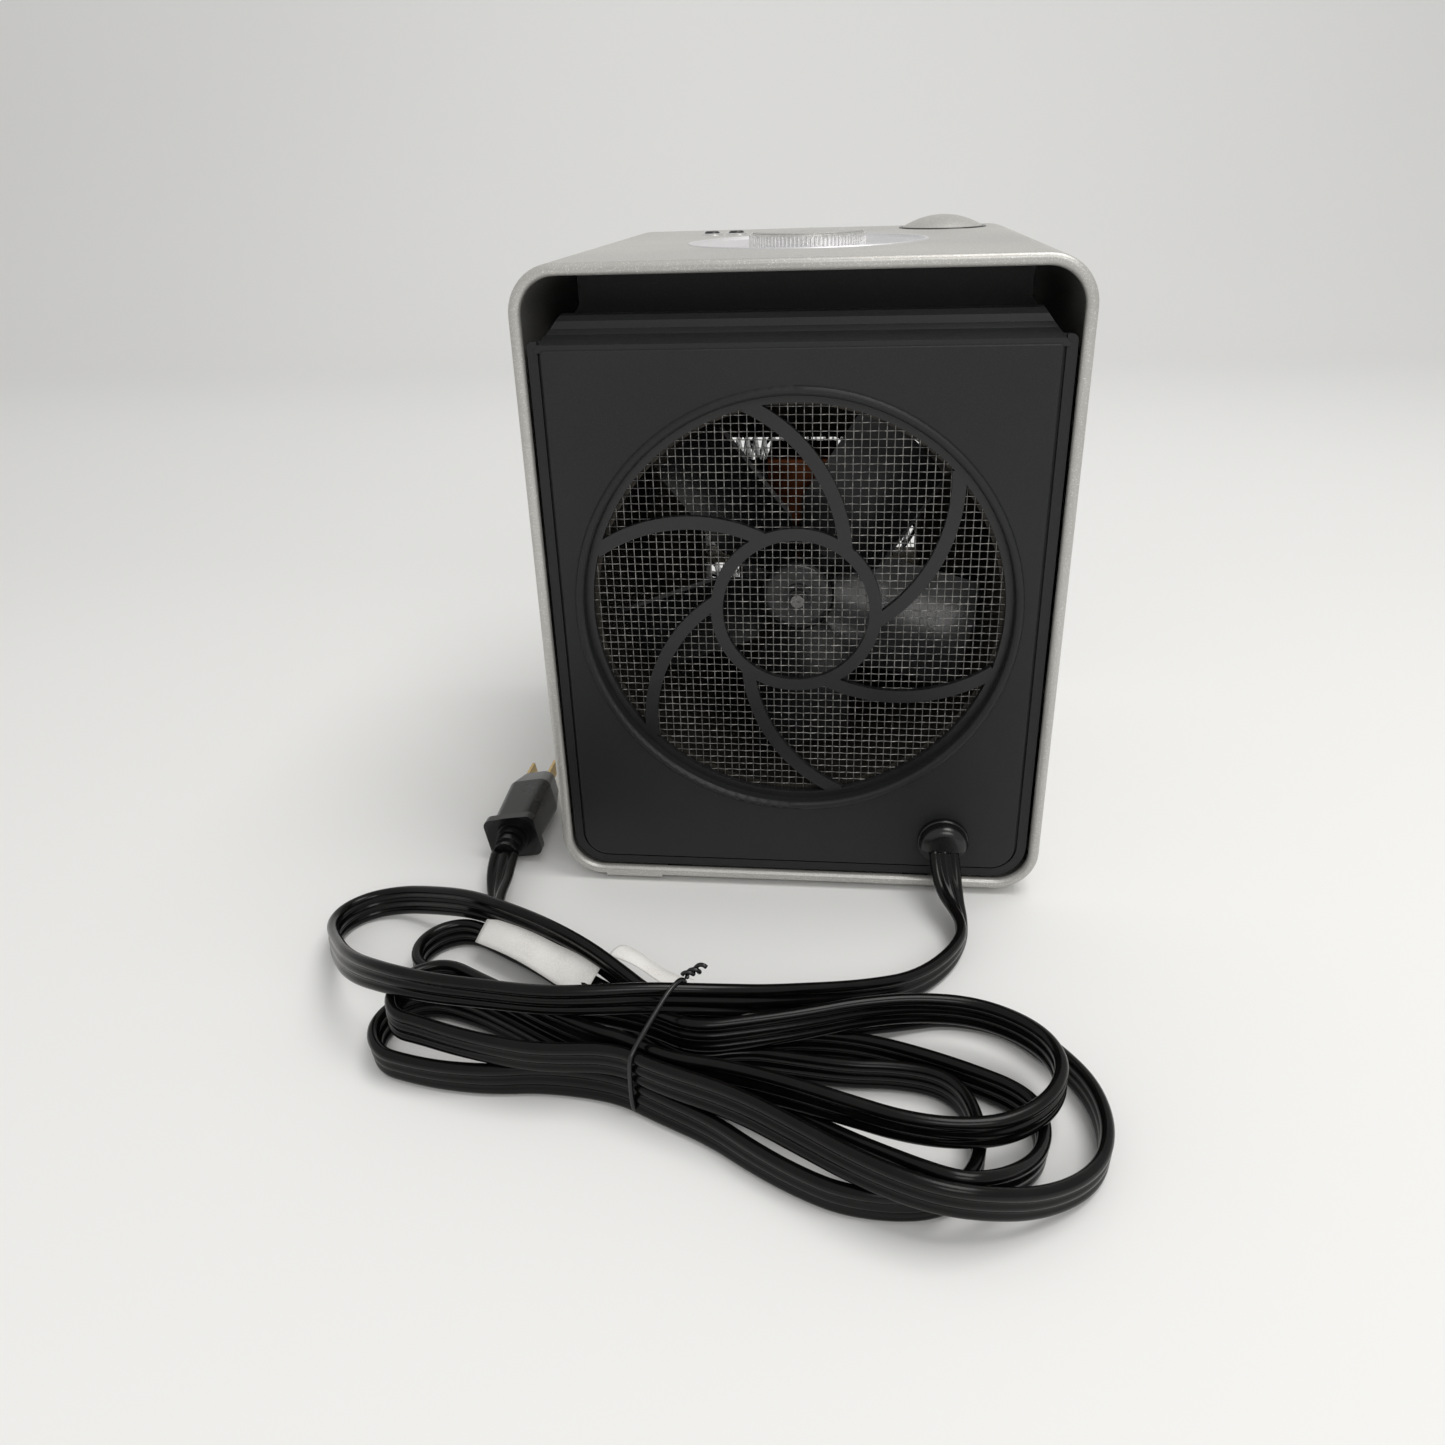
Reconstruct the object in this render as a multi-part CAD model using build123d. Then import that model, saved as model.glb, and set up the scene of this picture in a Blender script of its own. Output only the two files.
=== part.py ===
from build123d import *
import math
import os

# A metal-sleeved ceramic fan heater, in millimetres.
# +Z is up, +Y is the back (air inlet and mains lead), -Y is the front (warm air outlet).
# The origin is on the ground, under the middle of the case.

# ---------------------------------------------------------------- driving sizes
WIDTH = 230.0             # sleeve, outside
DEPTH = 240.0             # sleeve, front rim to back rim
SLEEVE_H = 284.0          # sleeve, outside
CORNER = 20.0             # sleeve corner radius, outside
SHEET = 1.2               # sleeve sheet
HEM = 4.8                 # rolled rim at both ends of the sleeve
FOOT = 3.0                # feet below the sleeve
AXIS_Z = 141.5            # height of the fan axis
OPENING_R = 94.0          # air inlet, inside its lip
DIAL_AT = (0.0, 10.0)     # dial centre on the top
DIAL_R = 27.3
DISH_R = 56.0             # round dish that the dial sits in
CORD_R = 4.0              # plain round tube that stands for the flat three-core lead

# ---------------------------------------------------------------- worked out
TOP_Z = FOOT + SLEEVE_H
MID_Z = FOOT + SLEEVE_H / 2
BACK = DEPTH / 2
FRONT = -DEPTH / 2
UNDER_TOP = TOP_Z - SHEET
PANEL_GAP = 1.2           # housing flange to the sleeve's hem
PANEL_W = WIDTH - 2 * (HEM + PANEL_GAP)
PANEL_LOW = FOOT + HEM + 1.0
PANEL_R = 16.5            # lower corners of the back panel, and all four of the front one
FLANGE_FACE = BACK - 3.0
PLATEAU_FACE = BACK - 1.5
PANEL_BACK = BACK - 7.0   # inner side of the back panel
FLANGE_STRIP = 4.2
GROOVE = 1.2

CENTRE_MIN = (Align.CENTER, Align.CENTER, Align.MIN)


# ---------------------------------------------------------------- helpers
def upright(y, x=0.0, z=AXIS_Z):
    """Sketch plane facing the front, with its own Y up."""
    return Plane(origin=(x, y, z), x_dir=(1, 0, 0), z_dir=(0, -1, 0))


def slab(sketch, y_low, y_high, x=0.0, z=AXIS_Z):
    """The sketch, stood upright, as a solid from y_low to y_high."""
    return extrude(upright(y_high, x, z) * sketch, y_high - y_low)


def disc(radius, y_low, y_high, x=0.0, z=AXIS_Z):
    return slab(Circle(radius), y_low, y_high, x, z)


def ring(outer, inner, y_low, y_high, x=0.0, z=AXIS_Z):
    return slab(Circle(outer) - Circle(inner), y_low, y_high, x, z)


def block(x, y, z):
    """A box from three (low, high) pairs."""
    size = [high - low for low, high in (x, y, z)]
    return Pos(x[0], y[0], z[0]) * Box(*size, align=(Align.MIN, Align.MIN, Align.MIN))


def post(radius, z_low, z_high, x=0.0, y=0.0):
    return Pos(x, y, z_low) * Cylinder(radius, z_high - z_low, align=CENTRE_MIN)


def washer(outer, inner, z_low, z_high, x=0.0, y=0.0):
    return post(outer, z_low, z_high, x, y) - post(inner, z_low - 1, z_high + 1, x, y)


def polar(radius, degrees):
    angle = math.radians(degrees)
    return radius * math.cos(angle), radius * math.sin(angle)


def side_profile(points, x_low, x_high):
    """A solid along X from an outline given as (y, z) points."""
    face = make_face(Plane.YZ * Polyline(*points, close=True))
    return Pos(x_low, 0, 0) * extrude(face, x_high - x_low, dir=(1, 0, 0))


def rounded(width, low, high, low_radius, high_radius):
    """Upright rectangle sketch for slab(..., z=0), with its own radius at top and bottom."""
    face = Pos(0, (low + high) / 2) * Rectangle(width, high - low)
    face = fillet(face.vertices().group_by(Axis.Y)[0], low_radius)
    return fillet(face.vertices().group_by(Axis.Y)[-1], high_radius)


def group(solids):
    """Separate solids kept together in one node."""
    return Compound(children=list(solids))


# ---------------------------------------------------------------- case
LAP_X = 66.0              # the sheet's two ends lap under the case, from here outwards
LAP_W = 28.0
SLEEVE_HOLE_R = DISH_R - 2.0
BASE_SCREWS = [(sx * 58.0, sy * 108.0) for sx in (-1, 1) for sy in (-1, 1)]
POWER_AT = (-68.0, -88.0)
POWER_R = 21.0
SMALL_AT = [(41.0, -66.0), (54.0, -66.0)]
SMALL_R = 4.0


def sleeve_ring(depth_low, depth_high, wall):
    outer = RectangleRounded(WIDTH, SLEEVE_H, CORNER)
    inner = RectangleRounded(WIDTH - 2 * wall, SLEEVE_H - 2 * wall, CORNER - wall)
    return slab(outer - inner, depth_low, depth_high, z=MID_Z)


def rolled_rim(y_low, y_high):
    """The hem, rolled inwards round a wire, so its section is nearly round."""
    rim = sleeve_ring(y_low, y_high, HEM)
    flat_faces = [f for f in rim.faces() if abs(f.normal_at().Y) > 0.99]
    edges = [e for f in flat_faces for e in f.edges()]
    return fillet(edges, HEM / 2 - 0.25)


def make_sleeve():
    body = sleeve_ring(FRONT + HEM / 2, BACK - HEM / 2, SHEET)
    body += rolled_rim(FRONT, FRONT + HEM)
    body += rolled_rim(BACK - HEM, BACK)
    lap = body & block((LAP_X, LAP_X + LAP_W), (FRONT, BACK), (0, FOOT + HEM + 1))
    body += Pos(0, 0, -SHEET) * lap
    body -= post(SLEEVE_HOLE_R, UNDER_TOP - 1, TOP_Z + 1, *DIAL_AT)
    body -= post(POWER_R + 1.6, UNDER_TOP - 1, TOP_Z + 1, *POWER_AT)
    for at in SMALL_AT:
        body -= post(SMALL_R + 1.3, UNDER_TOP - 1, TOP_Z + 1, *at)
    for x, y in BASE_SCREWS:
        body -= post(2.1, -1, FOOT + HEM + 1, x, y)
    return body


FOOT_AT = [(sx * 84.0, sy * 100.0) for sx in (-1, 1) for sy in (-1, 1)]


def make_feet():
    def foot(x, y):
        tall = FOOT - (SHEET if LAP_X - 9 < x < LAP_X + LAP_W + 9 else 0.0)
        pad = post(8.0, 0, tall, x, y)
        return fillet(pad.edges().sort_by(Axis.Z)[0], 0.8)
    return group(foot(x, y) for x, y in FOOT_AT)


# ---------------------------------------------------------------- back housing
LEDGE_TOP = 267.0
PLATEAU_TOP = 254.0
SHELF_IN = 74.0           # how far forward the hand recess reaches
LIP_R = 98.0
BUSH_AT = (-70.0, 29.0)   # lead bushing, x and height
BUSH_HOLE_R = 8.0


def make_rear_housing():
    flange_low, flange_high = PANEL_LOW, PLATEAU_TOP + 3.5
    flange = rounded(PANEL_W, flange_low, flange_high, PANEL_R, 2.5)
    inset = FLANGE_STRIP + GROOVE
    groove_line = rounded(PANEL_W - 2 * FLANGE_STRIP, flange_low + FLANGE_STRIP,
                          flange_high + 5, PANEL_R - FLANGE_STRIP, 1.0)
    plateau = rounded(PANEL_W - 2 * inset, flange_low + inset, PLATEAU_TOP, PANEL_R - inset, 1.5)
    body = slab(flange, PANEL_BACK, FLANGE_FACE, z=0)
    body -= slab(groove_line, FLANGE_FACE - 1.5, FLANGE_FACE + 1, z=0)
    raised = slab(plateau, PANEL_BACK + 1, PLATEAU_FACE, z=0)
    raised = fillet(raised.faces().sort_by(Axis.Y)[-1].edges(), 0.7)
    body += raised
    body -= disc(LIP_R - 1, PANEL_BACK - 1, BACK + 1)
    lip = ring(LIP_R, OPENING_R, PANEL_BACK - 4, BACK)
    body += fillet(lip.faces().sort_by(Axis.Y)[-1].edges(), 1.7)

    shelf = [(SHELF_IN, UNDER_TOP - 0.4), (SHELF_IN, LEDGE_TOP - 4.5), (BACK - 16, LEDGE_TOP - 0.8),
             (BACK - 14, LEDGE_TOP), (BACK - 11.2, LEDGE_TOP - 0.6), (BACK - 9.5, LEDGE_TOP - 2.6),
             (BACK - 9.0, LEDGE_TOP - 5.5), (BACK - 7.2, LEDGE_TOP - 7.6),
             (FLANGE_FACE + 0.6, PLATEAU_TOP + 2.0), (FLANGE_FACE + 0.9, PLATEAU_TOP - 1.0),
             (PANEL_BACK, PLATEAU_TOP - 1.0), (PANEL_BACK - 2.4, LEDGE_TOP - 10.4),
             (BACK - 12, LEDGE_TOP - 3.2), (BACK - 16, LEDGE_TOP - 3.2),
             (SHELF_IN - 2.4, LEDGE_TOP - 6.9), (SHELF_IN - 2.4, UNDER_TOP - 0.4)]
    ledge_half = PANEL_W / 2 - 3.0
    ledge = side_profile(shelf, -ledge_half, ledge_half)
    for side in (-1, 1):
        slope = Polyline((side * ledge_half, PLATEAU_TOP), (side * (ledge_half + 2), PLATEAU_TOP),
                         (side * (ledge_half + 2), TOP_Z), (side * (ledge_half - 10), TOP_Z),
                         (side * (ledge_half - 10), LEDGE_TOP), close=True)
        ledge -= slab(make_face(slope), SHELF_IN - 4, BACK + 1, z=0)
    body += ledge
    body -= slab(Circle(BUSH_HOLE_R), PANEL_BACK - 1, BACK + 1, x=BUSH_AT[0], z=BUSH_AT[1])
    for x, y in BASE_SCREWS:
        if y > 0:
            lug = block((x - 6, x + 6), (y - 6, PANEL_BACK + 0.5), (FOOT + SHEET, PANEL_LOW + 8))
            body += lug - post(1.75, 0, PANEL_LOW + 7, x, y)
    return body


GUARD_BACK = BACK - 5.5   # face of the spider guard
GUARD_THICK = 3.0
HUB_OUT, HUB_IN = 37.8, 32.4
ARM_W = 5.8
ARM_COUNT = 6
ARM_START = 127.0         # degrees, where the first arm leaves the hub
ARM_SWEEP = -50.0         # degrees that an arm turns on its way out
ARM_CURVE = 73.0          # arm radius


def guard_arm(start):
    """Curved arm from the hub ring to the rim ring, as a centre line."""
    x0, z0 = polar(HUB_OUT - 2.2, start)
    x1, z1 = polar(OPENING_R - 2.0, start + ARM_SWEEP)
    chord = math.hypot(x1 - x0, z1 - z0)
    bulge = ARM_CURVE - math.sqrt(ARM_CURVE ** 2 - chord ** 2 / 4)
    nx, nz = -(z1 - z0) / chord, (x1 - x0) / chord
    middle = ((x0 + x1) / 2 + nx * bulge, (z0 + z1) / 2 + nz * bulge)
    return ThreePointArc((x0, z0), middle, (x1, z1))


def make_inlet_guard():
    arms = [trace(guard_arm(ARM_START + k * 360 / ARM_COUNT), ARM_W) for k in range(ARM_COUNT)]
    face = (Circle(HUB_OUT) - Circle(HUB_IN)) + arms
    face = (face & Circle(OPENING_R)) + (Circle(OPENING_R) - Circle(OPENING_R - 3.4))
    return slab(face, GUARD_BACK - GUARD_THICK, GUARD_BACK)


MESH_PITCH = 3.4
MESH_WIRE = 0.5
MESH_BACK = GUARD_BACK - GUARD_THICK - 0.3
MESH_R = OPENING_R - 0.6


def make_inlet_mesh():
    """Wire cloth in its rim, as one flat grid with every other wire."""
    step = 2 * MESH_PITCH
    rows = int(MESH_R / step)
    wires = []
    for k in range(-rows, rows + 1):
        reach = 2 * math.sqrt((MESH_R - 0.8) ** 2 - (k * step) ** 2)
        wires += [Pos(0, k * step) * Rectangle(reach, MESH_WIRE),
                  Pos(k * step, 0) * Rectangle(MESH_WIRE, reach)]
    cloth = (Circle(MESH_R) - Circle(MESH_R - 1.6)) + wires
    return slab(cloth, MESH_BACK - 2 * MESH_WIRE, MESH_BACK)


RETAINER_BACK = PANEL_BACK - 4.2


def make_mesh_retainer():
    """Stepped steel ring that presses the mesh against the guard."""
    flange = ring(OPENING_R + 3.4, OPENING_R - 5.0, RETAINER_BACK - 1.0, RETAINER_BACK)
    return flange + ring(OPENING_R - 0.2, OPENING_R - 5.0, RETAINER_BACK, MESH_BACK - 2 * MESH_WIRE - 0.1)


# ---------------------------------------------------------------- fan and motor
DUCT_IN, DUCT_OUT = 91.0, 92.0
DUCT_BACK = RETAINER_BACK - 1.2
DUCT_FRONT = -30.4
FAN_MID = 82.0            # middle of the blades along Y
FAN_TIP = 84.0
FAN_HUB_R = 17.0
FAN_HUB_DEEP = 26.0
BLADES = 5
BLADE_CHORD = 52.0
BLADE_PITCH = 34.0        # degrees from the plane of rotation
BLADE_THICK = 1.8
SHAFT_R = 3.0
SHAFT_FIT = 0.05
STATOR_BACK, STATOR_FRONT = 52.0, 30.0


def fan_blade(angle):
    """Cambered blade: an arc of sheet, extruded outwards and trimmed at the tip circle."""
    sagitta = BLADE_CHORD / 9
    camber = ThreePointArc((-BLADE_CHORD / 2, 0), (0, sagitta), (BLADE_CHORD / 2, 0))
    strip = trace(camber, BLADE_THICK)
    outward = Plane(origin=(FAN_HUB_R - 2.5, FAN_MID, 0), x_dir=(0, 0, 1), z_dir=(1, 0, 0))
    blade = extrude(outward * (Rot(0, 0, -BLADE_PITCH) * strip), FAN_TIP)
    blade &= disc(FAN_TIP, FAN_MID - 40, FAN_MID + 40, z=0)
    sector = make_face(Polyline((0, 0), (120, -80), (120, 80), close=True))
    blade &= slab(sector, FAN_MID - 40, FAN_MID + 40, z=0)
    return Pos(0, 0, AXIS_Z) * (Rot(0, angle, 0) * blade)


def make_fan():
    hub = disc(FAN_HUB_R, FAN_MID - FAN_HUB_DEEP / 2, FAN_MID + FAN_HUB_DEEP / 2)
    hub = fillet(hub.faces().sort_by(Axis.Y)[-1].edges(), 4.0)
    hub -= disc(FAN_HUB_R - 2.5, FAN_MID - FAN_HUB_DEEP / 2 - 1, FAN_MID + FAN_HUB_DEEP / 2 - 5)
    hub += disc(6.0, FAN_MID - FAN_HUB_DEEP / 2 + 4, FAN_MID + FAN_HUB_DEEP / 2 - 4)
    for k in range(BLADES):
        blade = fan_blade(20 + k * 360 / BLADES)
        hub += blade - disc(FAN_HUB_R - 2.4, FAN_MID - 40, FAN_MID + 40)
    return hub - disc(SHAFT_R, FAN_MID - 40, FAN_MID + 40)


SHAFT_BACK = FAN_MID + FAN_HUB_DEEP / 2 + 6


def make_fan_clip():
    seat = FAN_MID + FAN_HUB_DEEP / 2
    clip = ring(6.5, SHAFT_R, seat, seat + 1.2) + ring(4.4, SHAFT_R, seat + 1.0, seat + 3.6)
    return clip


BEARING_BACK = (STATOR_BACK + 2.0, STATOR_BACK + 9.0)
BEARING_FRONT = (STATOR_FRONT - 9.0, STATOR_FRONT - 2.0)
BEARING_R = 6.0


def make_motor_shaft():
    return disc(SHAFT_R, BEARING_FRONT[0] - 1.0, SHAFT_BACK)


def make_motor_rotor():
    return ring(13.0, SHAFT_R, STATOR_FRONT + 1, STATOR_BACK - 1)


STATOR_W, STATOR_LOW, STATOR_HIGH = 62.0, -26.0, 48.0


def make_motor_stator():
    """Square stack of laminations with the rotor tunnel low down and a window for the coil."""
    outline = Pos(0, (STATOR_LOW + STATOR_HIGH) / 2) * RectangleRounded(
        STATOR_W, STATOR_HIGH - STATOR_LOW, 3)
    outline -= Circle(13.4)
    window = Rectangle(STATOR_W - 24, 18)
    outline -= Pos(0, 29) * window
    for side in (-1, 1):
        outline -= Pos(side * 24, -19) * Circle(2.2)
    return slab(outline, STATOR_FRONT, STATOR_BACK)


def make_motor_coil():
    """Bobbin and winding round the top bar of the stack."""
    low, high = AXIS_Z + 21.0, AXIS_Z + 56.5
    outer = block((-16, 16), (STATOR_FRONT - 7, STATOR_BACK + 7), (low, high))
    outer = fillet(outer.edges().filter_by(Axis.X), 4)
    return outer - block((-17, 17), (STATOR_FRONT - 0.2, STATOR_BACK + 0.2),
                         (AXIS_Z + 37.8, AXIS_Z + STATOR_HIGH + 0.2))


def motor_bracket(face, outward):
    """Bearing bridge across the rotor, with a cup for the bearing."""
    low, high = sorted((face, face + outward * 1.6))
    bar = slab(Pos(0, -3) * RectangleRounded(58, 42, 8), low, high)
    cup_low, cup_high = sorted((face, face + outward * 10.0))
    body = bar + disc(9.0, cup_low, cup_high)
    pocket_low, pocket_high = sorted((face - outward, face + outward * 9.0))
    body -= disc(BEARING_R, pocket_low, pocket_high)
    body -= disc(SHAFT_R + 0.8, cup_low - 1, cup_high + 1)
    for side in (-1, 1):
        body -= disc(2.2, face - 4, face + 4, x=side * 24, z=AXIS_Z - 19)
    return body


def make_motor_bearings():
    return group(ring(BEARING_R, SHAFT_R + SHAFT_FIT, *span) for span in (BEARING_BACK, BEARING_FRONT))


def make_motor_screws():
    def screw(x):
        shank = disc(2.0, STATOR_FRONT - 6, STATOR_BACK + 1.6, x=x, z=AXIS_Z - 19)
        head = disc(3.8, STATOR_BACK + 1.6, STATOR_BACK + 4.2, x=x, z=AXIS_Z - 19)
        return shank + head
    return group(screw(side * 24) for side in (-1, 1))


MOUNT_BACK = STATOR_FRONT - 1.6
MOUNT_LEGS = (35.0, 145.0, 215.0, 325.0)


def make_motor_mount():
    """Pressed steel cross that carries the motor in the duct."""
    face = Circle(32)
    for angle in MOUNT_LEGS:
        face += Rot(0, 0, angle) * (Pos(DUCT_IN / 2, 0) * Rectangle(DUCT_IN - 0.6, 14))
    face &= Circle(DUCT_IN - 0.2)
    face -= Circle(12)
    face -= Pos(0, 39) * Rectangle(33, 38)
    body = slab(face, MOUNT_BACK - 1.6, MOUNT_BACK)
    for angle in MOUNT_LEGS:
        x, z = polar(DUCT_IN - 1.0, angle)
        tab = ring(DUCT_IN - 0.05, DUCT_IN - 1.6, MOUNT_BACK - 14, MOUNT_BACK)
        strip = Pos(0, 0, AXIS_Z) * (Rot(0, -angle, 0) * block((60, 95), (-10, 100), (-7, 7)))
        body += tab & strip
    for side in (-1, 1):
        body -= disc(2.0, 0, 60, x=side * 24, z=AXIS_Z - 19)
    return body


def make_air_duct():
    body = ring(DUCT_OUT, DUCT_IN, DUCT_FRONT, DUCT_BACK)
    body += ring(OPENING_R + 3.4, DUCT_IN, DUCT_BACK - 1.0, DUCT_BACK)
    return body


# ---------------------------------------------------------------- ceramic heater
HEATER_BACK, HEATER_FRONT = -32.0, -56.0
ROW_W = 118.0
FIN_H = 19.0
BAR_H = 5.0
FIN_MARGIN = 2.1          # the strip's sharp folds reach about this far past its centre line
ROWS = 4
STACK_H = ROWS * FIN_H + (ROWS - 1) * BAR_H


def row_low(k):
    return -STACK_H / 2 + k * (FIN_H + BAR_H)


def make_ptc_bars():
    """Ceramic heating bars between the fin rows."""
    bars = []
    for k in range(ROWS - 1):
        low = AXIS_Z + row_low(k) + FIN_H
        bars.append(block((-ROW_W / 2, ROW_W / 2), (HEATER_FRONT + 4, HEATER_BACK - 4), (low, low + BAR_H)))
    return group(bars)


def make_heater_fins():
    """Corrugated aluminium, one zigzag strip to a row."""
    waves = 24
    strips = []
    for k in range(ROWS):
        low, high = row_low(k) + FIN_MARGIN, row_low(k) + FIN_H - FIN_MARGIN
        pitch = (ROW_W - 4) / waves
        points = []
        for i in range(waves):
            x = -ROW_W / 2 + 2 + i * pitch
            points += [(x, low), (x + pitch / 2, high)]
        strips.append(slab(trace(Polyline(*points), 0.5), HEATER_FRONT + 4, HEATER_BACK - 4))
    return group(strips)


def make_electrodes():
    """Brass end tabs that feed the ceramic bars."""
    tabs = []
    for k in range(ROWS - 1):
        mid = AXIS_Z + row_low(k) + FIN_H + BAR_H / 2
        side = 1 if k % 2 else -1
        low, high = sorted((side * ROW_W / 2, side * (ROW_W / 2 + 17)))
        tabs.append(block((low, high), (HEATER_FRONT + 8, HEATER_BACK - 8), (mid - 0.4, mid + 0.4)))
    return group(tabs)


FRAME_W, FRAME_H = 148.0, 116.0


def make_heater_frame():
    """Heat-proof moulded frame round the stack."""
    outline = RectangleRounded(FRAME_W, FRAME_H, 4) - Rectangle(ROW_W + 0.4, STACK_H + 0.4)
    body = slab(outline, HEATER_FRONT, HEATER_BACK)
    for k in range(ROWS - 1):
        mid = AXIS_Z + row_low(k) + FIN_H + BAR_H / 2
        side = 1 if k % 2 else -1
        low, high = sorted((side * (ROW_W / 2 - 1), side * (ROW_W / 2 + 18)))
        body -= block((low, high), (HEATER_FRONT + 7.8, HEATER_BACK - 7.8), (mid - 0.6, mid + 0.6))
    return body


BAFFLE_BACK = HEATER_BACK + 1.4


def make_heater_baffle():
    """Round plate that sends all the air through the ceramic stack."""
    outline = RectangleRounded(200, 200, 10) - Rectangle(ROW_W + 4, STACK_H + 4)
    body = slab(outline, HEATER_BACK + 0.1, BAFFLE_BACK)
    return body


def make_outlet_duct():
    """Steel drum from the heater to the front grille."""
    return ring(97.0, 96.0, FRONT + 12.0, HEATER_BACK)


CUTOFF_AT = (-30.0, AXIS_Z + FRAME_H / 2)


def make_thermal_cutoff():
    """Round bimetal cut-out on top of the heater frame."""
    x, z = CUTOFF_AT
    body = post(8.0, z, z + 5, x, -44) + post(6.2, z + 5, z + 10, x, -44)
    for side in (-1, 1):
        body += block((x + side * 4 - 2.4, x + side * 4 + 2.4), (-44.4, -43.6), (z + 9, z + 20))
    return body


def make_thermal_fuse():
    """One-shot fuse in a clip beside the cut-out."""
    z = AXIS_Z + FRAME_H / 2
    x = 26.0
    clip = block((x - 9, x + 9), (-49, -39), (z, z + 1.2))
    can = Pos(x, -44, z + 4.2) * (Rot(0, 90, 0) * Cylinder(2.4, 22))
    return clip + can + block((x - 3, x + 3), (-45, -43), (z + 1, z + 3))


# ---------------------------------------------------------------- front
GRILLE_R = 94.0
GRILLE_BACK = FRONT + 11.0


def make_front_housing():
    high = UNDER_TOP - HEM - 1.0 + SHEET
    outline = rounded(PANEL_W, PANEL_LOW, high, PANEL_R, PANEL_R)
    body = slab(outline, FRONT + 3.0, FRONT + 6.5, z=0)
    inset = FLANGE_STRIP + GROOVE
    corner = PANEL_R - inset
    plateau = rounded(PANEL_W - 2 * inset, PANEL_LOW + inset, high - inset, corner, corner)
    raised = slab(plateau, FRONT + 1.5, FRONT + 4.0, z=0)
    body += fillet(raised.faces().sort_by(Axis.Y)[0].edges(), 0.7)
    body -= disc(LIP_R - 1, FRONT - 1, FRONT + 8)
    lip = ring(LIP_R, GRILLE_R + 0.4, FRONT, FRONT + 11.0)
    body += fillet(lip.faces().sort_by(Axis.Y)[0].edges(), 1.5)
    for x, y in BASE_SCREWS:
        if y < 0:
            lug = block((x - 6, x + 6), (FRONT + 6.0, y + 6), (FOOT + SHEET, PANEL_LOW + 8))
            body += lug - post(1.75, 0, PANEL_LOW + 7, x, y)
    return body


GRILLE_RINGS = 9
GRILLE_VANES = 18


def make_outlet_grille():
    """Round outlet: rings for the air, swept vanes behind them, and a plain centre cap."""
    radii = [24 + k * (GRILLE_R - 26) / GRILLE_RINGS for k in range(GRILLE_RINGS)] + [GRILLE_R - 1]
    rings = [ring(radius + 1, radius - 1, FRONT + 2.0, FRONT + 5.0) for radius in radii]
    vanes = []
    for k in range(GRILLE_VANES):
        start = k * 360 / GRILLE_VANES
        line = ThreePointArc(polar(19, start), polar(57, start + 17), polar(GRILLE_R - 1, start + 42))
        vanes.append(slab(trace(line, 1.6), FRONT + 4.0, GRILLE_BACK - 0.5))
    cap = disc(21.0, FRONT + 0.6, GRILLE_BACK - 0.5)
    cap = fillet(cap.faces().sort_by(Axis.Y)[0].edges(), 3.0)
    return cap + rings + vanes


def make_base_screws():
    def screw(x, y):
        head = post(3.8, FOOT - 1.8, FOOT, x, y)
        return fillet(head.edges().sort_by(Axis.Z)[0], 0.9) + post(1.7, FOOT - 0.2, PANEL_LOW + 6, x, y)
    return group(screw(x, y) for x, y in BASE_SCREWS)


# ---------------------------------------------------------------- controls
DIAL_TOP = TOP_Z + 4.0
DIAL_LOW = TOP_Z - 5.6
KNURLS = 90
DISH_FLOOR = TOP_Z - 6.4
PAN_LOW = TOP_Z - 22.0    # floor of the control compartment
SHAFT_HOLE = 3.6


def turned(points, at):
    """A solid of revolution about an upright axis, from (radius, height) points."""
    face = make_face(Plane.XZ * Polyline(*points, close=True))
    return Pos(at[0], at[1], 0) * revolve(face, Axis.Z)


def make_control_bezel():
    """Shallow round dish let into the top, with a flat floor under the dial."""
    rim = TOP_Z + 0.45
    points = [(SHAFT_HOLE, DISH_FLOOR), (DIAL_R + 1.2, DISH_FLOOR), (DIAL_R + 1.9, DISH_FLOOR + 1.3),
              (DISH_R - 9, TOP_Z - 3.4), (DISH_R - 3.4, TOP_Z - 0.9), (DISH_R - 1.6, rim),
              (DISH_R - 0.3, rim), (DISH_R, TOP_Z), (SLEEVE_HOLE_R - 0.3, TOP_Z),
              (SLEEVE_HOLE_R - 0.3, TOP_Z - 3.2), (DISH_R - 9, TOP_Z - 5.4),
              (DIAL_R + 3.5, DISH_FLOOR - 1.8), (SHAFT_HOLE, DISH_FLOOR - 1.8)]
    return turned(points, DIAL_AT)


def make_thermostat_dial():
    """Knurled ring with a shallow seat for the cap."""
    ribs = [Pos(*polar(DIAL_R - 0.45, k * 360 / KNURLS)) * Circle(0.55) for k in range(KNURLS)]
    face = Circle(DIAL_R - 0.35) + ribs
    body = Pos(DIAL_AT[0], DIAL_AT[1], DIAL_LOW) * extrude(face, DIAL_TOP - 0.8 - DIAL_LOW)
    body += post(DIAL_R - 1.0, DIAL_TOP - 1.0, DIAL_TOP - 0.1, *DIAL_AT)
    body -= post(DIAL_R - 1.7, DIAL_TOP - 1.2, DIAL_TOP + 1, *DIAL_AT)
    body -= post(DIAL_R - 3.0, DIAL_LOW - 1, DIAL_TOP - 3.0, *DIAL_AT)
    body += post(5.0, DIAL_LOW + 0.2, DIAL_TOP - 2.0, *DIAL_AT)
    body -= post(SHAFT_R, DIAL_LOW - 1, DIAL_TOP - 3.0, *DIAL_AT)
    return body


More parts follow.
